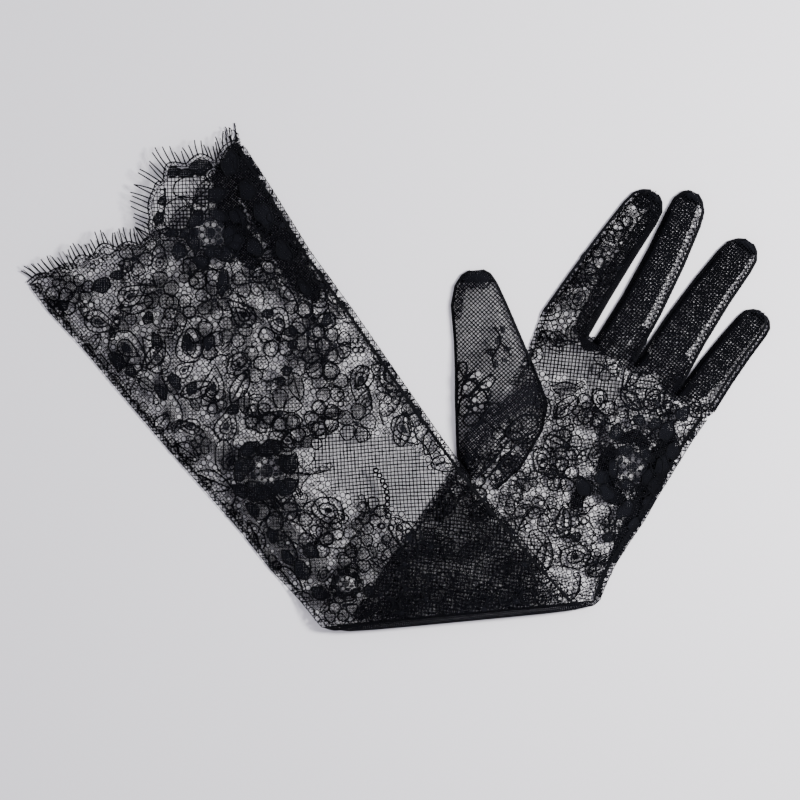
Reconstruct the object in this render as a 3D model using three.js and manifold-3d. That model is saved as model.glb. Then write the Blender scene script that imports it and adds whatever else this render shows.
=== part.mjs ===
// Opera-length lace glove laid flat, its arm folded once across the wrist. Millimetres, +Z up.
// +X runs to the right and +Y away from the viewer, seen from above with the fold nearest.

import * as THREE from 'three';
import { mergeVertices } from 'three/addons/utils/BufferGeometryUtils.js';
import Module from 'manifold-3d';

const wasm = await Module();
wasm.setup();

// Cloth and seams
const CLOTH = 1.0;
const GAP = 0.3;
const LIP_WIDTH = 2.6;
const LIP_MIDDLE = 0.7;
const PLAIN_LIP = 0.5;
const SIDE_WALL = 1.6;
const ARM_FULLNESS = 6;
const FINGER_FULLNESS = 3;
const SWELL_POWER = 0.45;
const LEAST_HALF_HOLLOW = 0.1;
const HOLLOW = -1;

// The fold: the arm turns half round a straight line and lies back over the hand
const FOLD_HEIGHT = 3.8;
const FOLD_SLACK = 0.8;
const FOLD_RADIUS = FOLD_HEIGHT + FOLD_SLACK / 2;
const FOLD_STEPS = 6;
const FOLD_START = [-32.7, -113.9];
const FOLD_END = [96.1, -101.7];
const FOLD_SHIFT = { left: 12, right: 10.2 };
const FOLD_FALL = 25;

// The hidden edge of the hand, past which the arm that lies on it drops to the table
const HAND_EDGE = [29.0, -39.6];
const HAND_INWARD = [0.825, -0.565];
const EDGE_FALL = 22;
const ARM_LIFT = 2 * FOLD_RADIUS - FOLD_HEIGHT;

// The hand from the knuckles to the fold: one row for each line across it
const HAND_ROWS = [
  { left: [69.5, 31.7], right: [145.4, -18.9], height: 6.6 },
  { left: [60.7, 8.3], right: [138.9, -28.1], height: 6.6 },
  { left: [50.6, -7.4], right: [131.6, -40.0], height: 6.0 },
  { left: [39.6, -23.5], right: [123.3, -53.4], height: 5.2 },
  { left: [29.0, -39.6], right: [116.8, -64.9], height: 4.3 },
  { left: [16.6, -58.0], right: [109.0, -76.4], height: 3.9 },
  { left: [3.7, -76.4], right: [103.0, -86.0], height: 3.8 },
  { left: [-9.2, -95.2], right: [98.9, -94.6], height: 3.8 },
];

// The arm from the fold to just past its scalloped mouth
const ARM_ROWS = [
  { left: [-42.8, -101.7], right: [70.4, -86.0], height: 4.2 },
  { left: [-56.1, -87.9], right: [56.6, -69.9], height: 4.8 },
  { left: [-69.9, -70.4], right: [40.5, -50.6], height: 5.4 },
  { left: [-86.0, -52.0], right: [23.9, -28.1], height: 5.9 },
  { left: [-104.4, -31.3], right: [4.6, -0.5], height: 6.5 },
  { left: [-124.7, -7.4], right: [-17.0, 30.8], height: 7.0 },
  { left: [-144.0, 15.6], right: [-37.7, 59.3], height: 7.2 },
  { left: [-158.7, 31.3], right: [-56.1, 89.2], height: 7.2 },
  { left: [-168.8, 45.1], right: [-70.8, 111.8], height: 7.2 },
  { left: [-177.8, 58.4], right: [-79.8, 125.1], height: 7.2 },
];

// Soft creases in the upper cloth: a ridge where rise is above 0, a dent where it is below
const CREASES = [
  { from: [96, 20], to: [112, -22], width: 7, rise: 0.7 },
  { from: [118, 6], to: [126, -30], width: 6, rise: -0.8 },
  { from: [86, -2], to: [78, -28], width: 7, rise: -0.7 },
  { from: [-60, -62], to: [-96, -20], width: 9, rise: 0.9 },
  { from: [-20, -52], to: [-64, 6], width: 8, rise: -0.8 },
  { from: [-128, 22], to: [-112, 48], width: 7, rise: 0.8 },
  { from: [-88, 44], to: [-74, 80], width: 8, rise: -0.6 },
];

// Fingers: the middle of the knuckle line and of the tip, the flat width at both, the sideways bow at
// mid length, and the lip at each side, which only the outer sides of the hand have
const FINGER_HEIGHT = 6.3;
const FINGER_THINNING = 0.92;
const FINGER_RIM = 1.1;
const TIP_HEIGHT = 0.62;
const TIP_ROUND = 0.13;
const TIP_LEAST_WIDTH = 0.3;
const TIP_WALL = 1.2;
const ROOT_DEPTH = 14;
const ROOT_INSET = 0.6;
const FINGERS = {
  index: { base: [79.4, 24.6], tip: [121.4, 86.2], wide: 24.4, narrow: 17.4, bow: -0.8,
    lips: [LIP_WIDTH, PLAIN_LIP] },
  middle: { base: [102.6, 12.9], tip: [139.4, 86.4], wide: 21.4, narrow: 16.8, bow: 2.0,
    lips: [PLAIN_LIP, PLAIN_LIP] },
  ring: { base: [123.8, 3.6], tip: [165.2, 63.4], wide: 24.2, narrow: 17.2, bow: -1.6,
    lips: [PLAIN_LIP, PLAIN_LIP] },
  little: { base: [141.0, -9.2], tip: [171.2, 30.4], wide: 19.6, narrow: 15.4, bow: -0.9,
    lips: [PLAIN_LIP, LIP_WIDTH] },
};
const FINGER_STATIONS = [0, 0.3, 0.6, 0.84, 0.92, 0.97, 0.995];

// Crotches between the fingers, and the forked strip sewn round each
const CROTCHES = [
  { name: 'index_middle', between: ['index', 'middle'], at: [91.2, 16.8] },
  { name: 'middle_ring', between: ['middle', 'ring'], at: [114.6, 9.8] },
  { name: 'ring_little', between: ['ring', 'little'], at: [133.6, -3.8] },
];
const FORK_SIDES = 16;
const FORK_WIDTH = 3.4;
const FORK_INSET = 1.4;
const FORK_CROTCH = 4.2;
const FORK_REACH = 0.84;
const FORK_SHARES = [-0.02, 0.15, 0.35, 0.55, 0.7, FORK_REACH];
const PARTING_SHARES = [0.1, 0.3, 0.5, 0.7, 0.9, 1.1];

// The thumb lies across the palm's edge with its tip pointing away from the fold
const THUMB_ROWS = [
  { left: [35.9, -45.0], right: [48.3, -51.1], height: 6.2 },
  { left: [29.9, -36.3], right: [59.8, -40.5], height: 8.2 },
  { left: [29.4, -23.5], right: [69.5, -23.5], height: 10.2 },
  { left: [29.0, -9.7], right: [71.8, -11.0], height: 10.6 },
  { left: [29.0, 3.2], right: [67.2, 1.8], height: 9.4 },
  { left: [28.5, 17.9], right: [60.3, 17.9], height: 7.2 },
  { left: [27.1, 34.0], right: [52.9, 35.0], height: 6.4 },
  { left: [28.8, 43.0], right: [48.6, 44.2], height: 5.6 },
  { left: [31.9, 47.8], right: [45.6, 48.6], height: 4.4 },
  { left: [35.6, 50.0], right: [42.2, 50.4], height: 3.2 },
];
const THUMB_CREASES = [
  { from: [70, -10], to: [33, -34], width: 5, rise: -1.3 },
  { from: [66, -2], to: [44, 6], width: 6, rise: 0.5 },
];
const THUMB_HOLE = { at: [48.0, -19.0], long: 18.5, short: 9.5, turn: 0.97, floor: 1.3 };
const THUMB_HOLE_SIDES = 20;
const THUMB_END_WALL = 1.3;
const THUMB_CLEARANCE = GAP + 0.1;

// The scalloped hem of the upper and the under cloth: cusps in millimetres along the mouth and outward
// from it, how far the lobe after each cusp bulges, and which way its eyelash threads point, in degrees
const MOUTH_START = [-168.8, 45.1];
const MOUTH_ALONG = [0.827, 0.563];
const MOUTH_LENGTH = 118.5;
const UPPER_HEM = [
  { along: 0, out: -0.6, bulge: 1.6, lash: 150, length: 6.0 },
  { along: 10.9, out: -2.8, bulge: 2.0, lash: 136, length: 6.5 },
  { along: 20.5, out: -8.3, bulge: 4.2, lash: 124, length: 6.5 },
  { along: 32.1, out: -8.5, bulge: 4.2, lash: 116, length: 5.5 },
  { along: 43.7, out: -11.1, bulge: 2.4, lash: 104, length: 6.5 },
  { along: 53.2, out: -16.7, bulge: 1.2, lash: 112, length: 6.5 },
  { along: 59.3, out: -15.8, bulge: 0.8, lash: 150, length: 7.0 },
  { along: 63.5, out: -8.5, bulge: 1.6, lash: 162, length: 8.0 },
  { along: 72.7, out: 1.5, bulge: 1.5, lash: 156, length: 9.0 },
  { along: 78.4, out: 2.1, bulge: 5.2, lash: 140, length: 10.5 },
  { along: 91.4, out: 2.7, bulge: 4.2, lash: 112, length: 6.0 },
  { along: 103.4, out: -4.1, bulge: 2.4, lash: 104, length: 6.0 },
  { along: 118.5, out: -0.8, bulge: 0, lash: 98, length: 7.0 },
];
const UNDER_HEM = [
  { along: 0, out: -0.6, bulge: 1.6, lash: 150, length: 6.0 },
  { along: 12.0, out: -3.6, bulge: 3.0, lash: 132, length: 6.0 },
  { along: 25.0, out: -8.2, bulge: 3.0, lash: 122, length: 6.0 },
  { along: 39.0, out: -11.6, bulge: 3.0, lash: 114, length: 6.0 },
  { along: 53.0, out: -17.0, bulge: 2.6, lash: 118, length: 6.0 },
  { along: 68.0, out: -16.6, bulge: 3.0, lash: 130, length: 6.0 },
  { along: 84.0, out: -13.4, bulge: 3.0, lash: 124, length: 6.0 },
  { along: 101.0, out: -8.6, bulge: 2.6, lash: 116, length: 6.0 },
  { along: 118.5, out: -0.8, bulge: 0, lash: 98, length: 7.0 },
];
const HEM_BAND = 1.8;
const HEM_STEP = 4.5;
const HEM_SPLIT = 1.35;
const SPLIT_OVERLAP = 0.1;
const LASH_PITCH = 2.8;
const LASH_WIDTH = 0.9;
const LASH_ROOT = 1.2;

// Rings of large open meshes in the lace that lies on top: centre, ring radius, hole radius and count
const OPEN_SIDES = 5;
const OPEN_FLOOR = 2.6;
const OPEN_RINGS = [
  { at: [-58.4, -42.8], ring: 4.6, hole: 1.1, count: 9 },
  { at: [-86.0, 70.8], ring: 4.4, hole: 1.1, count: 9 },
  { at: [110.4, -40.5], ring: 4.2, hole: 1.1, count: 8 },
  { at: [-51.5, -15.6], ring: 3.2, hole: 0.9, count: 6 },
];

// Where the hollow starts behind the knuckle line and runs out past the mouth, and how far cutters go
const KNUCKLE_WALL = 1.4;
const PAST_MOUTH = 2;
const BELOW_ALL = -1;
const ABOVE_ALL = 14;
const CUT_REACH = 60;

// The middle of the laid glove's box in the plan, which is the origin of its frame
const BOX_MIDDLE = [0.875, 0.81];

const BLACK_LACE = { color: 0x15151b, roughness: 0.85, metalness: 0 };

// Across a tube: 0 and 1 are the two seams
const ARM_STATIONS = [0, 0.04, 0.14, 0.28, 0.42, 0.58, 0.72, 0.86, 0.96, 1];
const NARROW_STATIONS = [0, 0.1, 0.35, 0.65, 0.9, 1];

const mix = (a, b, t) => a + (b - a) * t;
const mixPoint = (p, q, t) => [mix(p[0], q[0], t), mix(p[1], q[1], t)];
const clamp01 = (t) => Math.min(1, Math.max(0, t));
const smooth = (t) => clamp01(t) ** 2 * (3 - 2 * clamp01(t));
const dot = (p, q) => p[0] * q[0] + p[1] * q[1];
const minus = (p, q) => [p[0] - q[0], p[1] - q[1]];
const moved = (p, direction, distance) => [p[0] + direction[0] * distance, p[1] + direction[1] * distance];

function directionFrom(p, q) {
  const length = Math.hypot(q[0] - p[0], q[1] - p[1]);
  return [(q[0] - p[0]) / length, (q[1] - p[1]) / length];
}

// Three.js geometry to a solid for cutting and joining, and back
function solidOf(geometry) {
  const plain = geometry.clone();
  plain.deleteAttribute('normal');
  plain.deleteAttribute('uv');
  const merged = mergeVertices(plain, 1e-4);
  return new wasm.Manifold(new wasm.Mesh({
    numProp: 3,
    vertProperties: new Float32Array(merged.attributes.position.array),
    triVerts: new Uint32Array(merged.index.array),
  }));
}

function geometryOf(solid) {
  const mesh = solid.getMesh();
  const geometry = new THREE.BufferGeometry();
  geometry.setAttribute('position', new THREE.BufferAttribute(mesh.vertProperties, 3));
  geometry.setIndex(new THREE.BufferAttribute(mesh.triVerts, 1));
  geometry.computeVertexNormals();
  return geometry;
}

// Height of the creases at a point of the plan
function creaseAt(point, creases) {
  let rise = 0;
  for (const crease of creases) {
    const span = minus(crease.to, crease.from);
    const along = clamp01(dot(minus(point, crease.from), span) / dot(span, span));
    const [dx, dy] = minus(point, moved(crease.from, span, along));
    rise += crease.rise * Math.exp(-(dx * dx + dy * dy) / crease.width ** 2);
  }
  return rise;
}

// The ends of the tube's line across at the start of the bend and at its end
const FOLD_ALONG = directionFrom(FOLD_START, FOLD_END);
const FOLD_AWAY = [FOLD_ALONG[1], -FOLD_ALONG[0]];
const FOLD_BEFORE = { left: moved(FOLD_START, FOLD_ALONG, FOLD_SHIFT.left), right: FOLD_END };
const FOLD_AFTER = { left: FOLD_START, right: moved(FOLD_END, FOLD_ALONG, -FOLD_SHIFT.right) };

// How high the arm lies: on the hand's two layers next to the fold, and down to the table beyond them
function armLift(point) {
  const onHand = smooth(dot(minus(point, HAND_EDGE), HAND_INWARD) / EDGE_FALL + 1);
  const nearFold = 1 - smooth(-dot(minus(point, FOLD_START), FOLD_AWAY) / FOLD_FALL);
  return ARM_LIFT * (1 - (1 - onHand) * (1 - nearFold));
}

// Where cloth of the hand, the bend and the arm lies. Depth is counted through the flattened tube from
// the cloth of the back of the hand, which the bend brings to the top on the arm
const placeHand = (point, depth, swell, isPalm) =>
  [point[0], point[1], depth + (isPalm ? creaseAt(point, CREASES) * swell : 0)];

const placeArm = (height) => (point, depth, swell, isPalm) =>
  [point[0], point[1], armLift(point) + height - depth + (isPalm ? 0 : creaseAt(point, CREASES) * swell)];

const placeThumb = (point, depth, swell, isPalm) =>
  [point[0], point[1], depth + (isPalm ? creaseAt(point, THUMB_CREASES) * swell : 0)];

const placeBend = (angle) => (point, depth) => {
  const radius = FOLD_RADIUS - depth;
  const plan = moved(point, FOLD_AWAY, radius * Math.sin(angle));
  return [plan[0], plan[1], FOLD_RADIUS - radius * Math.cos(angle)];
};

// Heights of the tube's two outer faces at its stations across, before it is placed
function outerFaces({ left, right, height, rim, lips, fullness, stations }) {
  const width = Math.hypot(right[0] - left[0], right[1] - left[1]);
  return [0, ...stations.map((t) => mix(lips[0], width - lips[1], t)), width].map((w) => {
    const t = clamp01((w - lips[0]) / (width - lips[0] - lips[1]));
    const swell = (1 - Math.abs(2 * t - 1) ** fullness) ** SWELL_POWER;
    return { w, swell, lower: (rim - CLOTH / 2) * (1 - swell), upper: mix(rim + CLOTH / 2, height, swell) };
  });
}

// The hollow inside those faces, less the cloth, from just inside one seam to just inside the other
function hollowFaces(faces, { lips, stations }) {
  const width = faces.at(-1).w;
  return stations.map((t) => {
    const w = mix(lips[0] + SIDE_WALL, width - lips[1] - SIDE_WALL, t);
    const i = faces.findIndex((face) => face.w > w) - 1;
    const share = (w - faces[i].w) / (faces[i + 1].w - faces[i].w);
    const at = (name) => mix(faces[i][name], faces[i + 1][name], share);
    const middle = (at('upper') + at('lower')) / 2;
    const half = Math.max(LEAST_HALF_HOLLOW, (at('upper') - at('lower')) / 2 - CLOTH);
    return { w, swell: at('swell'), lower: middle - half, upper: middle + half };
  });
}

// One ring of points round a flattened tube: the back cloth from left to right, then the palm cloth.
// grow widens the ring all round, and HOLLOW gives the space inside the cloth
function sectionRing(row, grow) {
  const outer = outerFaces(row);
  const width = outer.at(-1).w;
  const faces = grow === HOLLOW ? hollowFaces(outer, row) : outer;
  const extra = grow === HOLLOW ? 0 : grow;
  const back = [];
  const palm = [];
  faces.forEach(({ w, swell, lower, upper }, i) => {
    const sideways = i === 0 ? -extra : (i === faces.length - 1 ? extra : 0);
    const point = mixPoint(row.left, row.right, (w + sideways) / width);
    back.push(row.place(point, lower - extra, swell, false));
    palm.push(row.place(point, upper + extra, swell, true));
  });
  return { back, palm };
}

// A closed solid through rings, with flat ends made of the strips between back and palm cloth
function loft(rows, grow) {
  const rings = rows.map((row) => sectionRing(row, grow));
  const count = rings[0].back.length;
  const positions = [];
  for (const { back, palm } of rings) {
    positions.push(...back.flat(), ...palm.slice().reverse().flat());
  }
  const around = 2 * count;
  const index = [];
  const quad = (a, b, c, d) => index.push(a, b, c, a, c, d);
  for (let r = 0; r + 1 < rings.length; r += 1) {
    for (let i = 0; i < around; i += 1) {
      const next = (i + 1) % around;
      quad(r * around + i, (r + 1) * around + i, (r + 1) * around + next, r * around + next);
    }
  }
  const last = (rings.length - 1) * around;
  for (let i = 0; i + 1 < count; i += 1) {
    quad(i, i + 1, around - 2 - i, around - 1 - i);
    quad(last + i + 1, last + i, last + around - 1 - i, last + around - 2 - i);
  }
  const [across, onward] = [minus(rows[0].right, rows[0].left), minus(rows[1].left, rows[0].left)];
  if (across[0] * onward[1] < across[1] * onward[0]) index.reverse();
  const geometry = new THREE.BufferGeometry();
  geometry.setAttribute('position', new THREE.Float32BufferAttribute(positions, 3));
  geometry.setIndex(index);
  return solidOf(geometry);
}

const join = (solids) => solids.reduce((whole, solid) => whole.add(solid));

// A straight-sided solid over a plan outline
function prism(outline, bottom, top) {
  const shape = new THREE.Shape(outline.map(([x, y]) => new THREE.Vector2(x, y)));
  const geometry = new THREE.ExtrudeGeometry(shape, { depth: top - bottom, bevelEnabled: false });
  geometry.translate(0, 0, bottom);
  return solidOf(geometry);
}

// An upright round cutter from one height up to above the whole glove
function roundCutter([x, y], radius, bottom, sides) {
  const cylinder = new THREE.CylinderGeometry(radius, radius, ABOVE_ALL - bottom, sides);
  cylinder.rotateX(Math.PI / 2);
  cylinder.translate(x, y, (ABOVE_ALL + bottom) / 2);
  return solidOf(cylinder);
}

// The outline of a ribbon of one width along a path
function ribbon(path, halfWidth, grow) {
  const first = moved(path[0], directionFrom(path[1], path[0]), grow);
  const end = moved(path.at(-1), directionFrom(path.at(-2), path.at(-1)), grow);
  const points = [first, ...path.slice(1, -1), end];
  const normals = points.map((_, i) => {
    const d = directionFrom(points[Math.max(0, i - 1)], points[Math.min(points.length - 1, i + 1)]);
    return [-d[1], d[0]];
  });
  const reach = halfWidth + grow;
  const leftSide = points.map((p, i) => moved(p, normals[i], reach));
  const rightSide = points.map((p, i) => moved(p, normals[i], -reach));
  return [...rightSide, ...leftSide.reverse()];
}

const handRow = (row) => (
  { ...row, rim: LIP_MIDDLE, lips: [LIP_WIDTH, LIP_WIDTH], fullness: ARM_FULLNESS,
    stations: ARM_STATIONS, place: placeHand });
const armRow = (row) => (
  { ...handRow(row), rim: row.height - LIP_MIDDLE, place: placeArm(row.height) });

function bendRows() {
  return Array.from({ length: FOLD_STEPS + 1 }, (_, step) => {
    const turn = step / FOLD_STEPS;
    return {
      ...handRow({
        left: mixPoint(FOLD_BEFORE.left, FOLD_AFTER.left, turn),
        right: mixPoint(FOLD_BEFORE.right, FOLD_AFTER.right, turn),
        height: FOLD_HEIGHT,
      }),
      rim: mix(LIP_MIDDLE, FOLD_HEIGHT - LIP_MIDDLE, turn),
      place: placeBend(Math.PI * turn),
    };
  });
}

// The middle of a finger and half its flat width, at a share of the way from knuckle to tip
function fingerAt(finger, share) {
  const along = directionFrom(finger.base, finger.tip);
  const across = [along[1], -along[0]];
  const bow = finger.bow * 4 * share * (1 - share);
  const middle = moved(mixPoint(finger.base, finger.tip, share), across, share > 0 ? bow : 0);
  const round = Math.max(0, (share - 1 + TIP_ROUND) / TIP_ROUND);
  const taper = Math.sqrt(Math.max(TIP_LEAST_WIDTH ** 2, 1 - round ** 2));
  const half = (mix(finger.wide, finger.narrow, share) / 2) * taper;
  const [toLeft, toRight] = finger.lips.map((lip) =>
    (share < 0 && lip > PLAIN_LIP ? half * ROOT_INSET : half));
  return { left: moved(middle, across, -toLeft), right: moved(middle, across, toRight), taper };
}

function fingerRows(finger) {
  const length = Math.hypot(finger.tip[0] - finger.base[0], finger.tip[1] - finger.base[1]);
  return [-ROOT_DEPTH / length, ...FINGER_STATIONS].map((share) => {
    const { left, right, taper } = fingerAt(finger, share);
    const lips = finger.lips.map((lip) => lip * taper);
    const height = FINGER_HEIGHT * mix(1, FINGER_THINNING, share) * mix(TIP_HEIGHT, 1, taper);
    return { left, right, height, rim: FINGER_RIM, lips, fullness: FINGER_FULLNESS,
      stations: NARROW_STATIONS, place: placeHand };
  });
}

// The line midway between two neighbouring fingers, from their crotch outward
function partingLine({ between, at }) {
  const [near, far] = between.map((name) => FINGERS[name]);
  return [at, ...PARTING_SHARES.map((share) =>
    mixPoint(fingerAt(near, share).right, fingerAt(far, share).left, 0.5))];
}

// The side of a finger that its forked strip covers
function forkPath(finger, side) {
  return FORK_SHARES.map((share) => {
    const { left, right } = fingerAt(finger, share);
    const edge = side === 'left' ? left : right;
    return moved(edge, directionFrom(left, right), side === 'left' ? FORK_INSET : -FORK_INSET);
  });
}

function forkRegion({ between, at }, grow) {
  const [near, far] = between.map((name) => FINGERS[name]);
  const legs = [forkPath(near, 'right'), forkPath(far, 'left')]
    .map((path) => prism(ribbon(path, FORK_WIDTH / 2, grow), BELOW_ALL, ABOVE_ALL));
  return join([...legs, roundCutter(at, FORK_CROTCH + grow, BELOW_ALL, FORK_SIDES)]);
}

// A point of the mouth's plan from its distance along the mouth and outward
const MOUTH_OUT = [-MOUTH_ALONG[1], MOUTH_ALONG[0]];
const mouthPoint = (along, out) => moved(moved(MOUTH_START, MOUTH_ALONG, along), MOUTH_OUT, out);

// Points along one lobe of a scalloped hem, with the lobe's own normal at each
function lobePoints(from, to) {
  const start = [from.along, from.out];
  const end = [to.along, to.out];
  const chord = Math.hypot(...minus(end, start));
  const onward = directionFrom(start, end);
  const outward = [-onward[1], onward[0]];
  const steps = Math.max(3, Math.round(chord / HEM_STEP));
  return Array.from({ length: steps + 1 }, (_, s) => {
    const t = s / steps;
    const point = moved(mixPoint(start, end, t), outward, from.bulge * Math.sin(Math.PI * t));
    const slope = (Math.PI * from.bulge * Math.cos(Math.PI * t)) / chord;
    const normal = directionFrom([0, 0], moved(outward, onward, -slope));
    return { point, normal, lash: mix(from.lash, to.lash, t), length: mix(from.length, to.length, t) };
  });
}

const lobes = (hem) => hem.slice(0, -1).map((cusp, i) => lobePoints(cusp, hem[i + 1]));

// The hem's line in the plan, or a line inside it
function hemLine(hem, inset) {
  return lobes(hem).flatMap((points, i) => (
    (inset === 0 && i > 0 ? points.slice(1) : points)
      .map(({ point, normal }) => mouthPoint(...moved(point, normal, -inset)))));
}

// Everything outward of a hem, or of a line inside it, in one range of heights
function beyondHem(hem, inset, bottom, top) {
  return prism([
    mouthPoint(-CUT_REACH, hem[0].out - inset),
    ...hemLine(hem, inset),
    mouthPoint(MOUTH_LENGTH + CUT_REACH, hem.at(-1).out - inset),
    mouthPoint(MOUTH_LENGTH + CUT_REACH, CUT_REACH),
    mouthPoint(-CUT_REACH, CUT_REACH),
  ], bottom, top);
}

const beyondMouth = (inset) => beyondHem(UPPER_HEM, inset, HEM_SPLIT - SPLIT_OVERLAP, ABOVE_ALL)
  .add(beyondHem(UNDER_HEM, inset, BELOW_ALL, HEM_SPLIT));

// Height of the middle of the cloth at the mouth, above or below
function mouthClothHeight(along, isUpper) {
  const { height } = ARM_ROWS.at(-2);
  const t = clamp01((along - LIP_WIDTH) / (MOUTH_LENGTH - 2 * LIP_WIDTH));
  const swell = (1 - Math.abs(2 * t - 1) ** ARM_FULLNESS) ** SWELL_POWER;
  return isUpper
    ? mix(LIP_MIDDLE + CLOTH / 2, height, swell) - CLOTH / 2
    : mix(LIP_MIDDLE, CLOTH / 2, swell);
}

// Eyelash threads as slim spikes rooted in the hem's band
function lashes(hem, isUpper) {
  const line = lobes(hem).flat();
  const spikes = [];
  let walked = LASH_PITCH / 2;
  for (let i = 0; i + 1 < line.length; i += 1) {
    const from = line[i];
    const to = line[i + 1];
    const length = Math.hypot(...minus(to.point, from.point));
    while (walked < length) {
      const t = walked / length;
      const [along, out] = mixPoint(from.point, to.point, t);
      const angle = THREE.MathUtils.degToRad(mix(from.lash, to.lash, t));
      const reach = mix(from.length, to.length, t) + LASH_ROOT;
      const direction = [Math.cos(angle), Math.sin(angle)];
      const middle = moved(mouthPoint(along, out), direction, reach / 2 - LASH_ROOT);
      const spike = new THREE.ConeGeometry(LASH_WIDTH / 2, reach, 4);
      spike.rotateZ(angle - Math.PI / 2);
      spike.translate(middle[0], middle[1], mouthClothHeight(along, isUpper));
      spikes.push(solidOf(spike));
      walked += LASH_PITCH;
    }
    walked -= length;
  }
  return spikes;
}

// Cutters for the open rings, through the cloth that lies on top only
const openMeshes = () => OPEN_RINGS.flatMap(({ at, ring, hole, count }) => (
  Array.from({ length: count }, (_, i) => {
    const angle = (2 * Math.PI * i) / count;
    const centre = moved(at, [Math.cos(angle), Math.sin(angle)], ring);
    return roundCutter(centre, hole, OPEN_FLOOR, OPEN_SIDES);
  })));

// The wall of the whole tube: outside less hollow, with the fingers parted from each other
function wallOfTube() {
  const tubeRows = [...HAND_ROWS.map(handRow), ...bendRows(), ...ARM_ROWS.map(armRow)];
  const fingers = Object.values(FINGERS).map(fingerRows);
  const partings = (grow) =>
    join(CROTCHES.map((crotch) => prism(ribbon(partingLine(crotch), GAP, grow), BELOW_ALL, ABOVE_ALL)));
  const outside = join([loft(tubeRows, 0), ...fingers.map((rows) => loft(rows, 0))])
    .subtract(partings(0));

  const [knuckles, next] = tubeRows;
  const insideStart = {
    ...knuckles,
    left: moved(knuckles.left, directionFrom(knuckles.left, next.left), KNUCKLE_WALL),
    right: moved(knuckles.right, directionFrom(knuckles.right, next.right), KNUCKLE_WALL),
  };
  const mouth = tubeRows.at(-1);
  const pastMouth = {
    ...mouth,
    left: moved(mouth.left, MOUTH_OUT, PAST_MOUTH),
    right: moved(mouth.right, MOUTH_OUT, PAST_MOUTH),
  };
  const insideRows = [insideStart, ...tubeRows.slice(1), pastMouth];
  const fingerHollows = fingers.map((rows) => {
    const tip = rows.at(-1);
    const back = directionFrom(tip.left, rows.at(-3).left);
    const inTip = { ...tip, left: moved(tip.left, back, TIP_WALL), right: moved(tip.right, back, TIP_WALL) };
    return loft([...rows.slice(0, -1), inTip], HOLLOW);
  });
  const inside = join([loft(insideRows, HOLLOW), ...fingerHollows])
    .subtract(partings(SIDE_WALL));
  return outside.subtract(inside);
}

function thumbTube() {
  const rows = THUMB_ROWS.map((row) => (
    { ...row, rim: FINGER_RIM, lips: [PLAIN_LIP, PLAIN_LIP], fullness: FINGER_FULLNESS,
      stations: NARROW_STATIONS, place: placeThumb }));
  const hollowRows = rows.map((row, i) => {
    if (i > 0 && i < rows.length - 1) return row;
    const next = rows[i === 0 ? 1 : i - 1];
    const inward = (side) => moved(row[side], directionFrom(row[side], next[side]), THUMB_END_WALL);
    return { ...row, left: inward('left'), right: inward('right') };
  });
  const hand = loft(HAND_ROWS.map(handRow), THUMB_CLEARANCE);
  const arm = loft([{ ...FOLD_AFTER, height: FOLD_HEIGHT }, ...ARM_ROWS].map(armRow), THUMB_CLEARANCE);
  return loft(rows, 0).subtract(loft(hollowRows, HOLLOW)).subtract(hand).subtract(arm);
}

// The oval cutter for the hole in the palm that the thumb is sewn round
function thumbHole() {
  const { at, long, short, turn, floor } = THUMB_HOLE;
  const hole = new THREE.CylinderGeometry(1, 1, ABOVE_ALL - floor, THUMB_HOLE_SIDES);
  hole.rotateX(Math.PI / 2);
  hole.scale(long, short, 1);
  hole.rotateZ(turn);
  hole.translate(at[0], at[1], (ABOVE_ALL + floor) / 2);
  return solidOf(hole);
}

// The largest connected body, without crumbs left by cutting
const mainBody = (solid) =>
  solid.decompose().reduce((best, body) => (body.volume() > best.volume() ? body : best));

function pieces() {
  const wall = wallOfTube();
  const forks = CROTCHES.map((crotch) => (
    { name: `fourchette_${crotch.name}`, solid: wall.intersect(forkRegion(crotch, 0)) }));
  const offTrank = join([beyondMouth(HEM_BAND + GAP), thumbHole(),
    ...CROTCHES.map((crotch) => forkRegion(crotch, GAP)), ...openMeshes()]);
  const band = wall.intersect(beyondMouth(HEM_BAND)).subtract(beyondMouth(0));
  return [
    { name: 'trank', solid: wall.subtract(offTrank) },
    { name: 'thumb', solid: thumbTube() },
    ...forks,
    { name: 'eyelash_fringe',
      solid: join([band, ...lashes(UPPER_HEM, true), ...lashes(UNDER_HEM, false)]) },
  ];
}

const glove = new THREE.Group();
glove.position.set(-BOX_MIDDLE[0], -BOX_MIDDLE[1], 0);
for (const { name, solid } of pieces()) {
  const mesh = new THREE.Mesh(geometryOf(mainBody(solid)), new THREE.MeshStandardMaterial(BLACK_LACE));
  mesh.name = name;
  glove.add(mesh);
}

export default glove;
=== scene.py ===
# Opera-length lace glove, laid flat and folded back across its hand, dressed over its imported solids
import math

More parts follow.
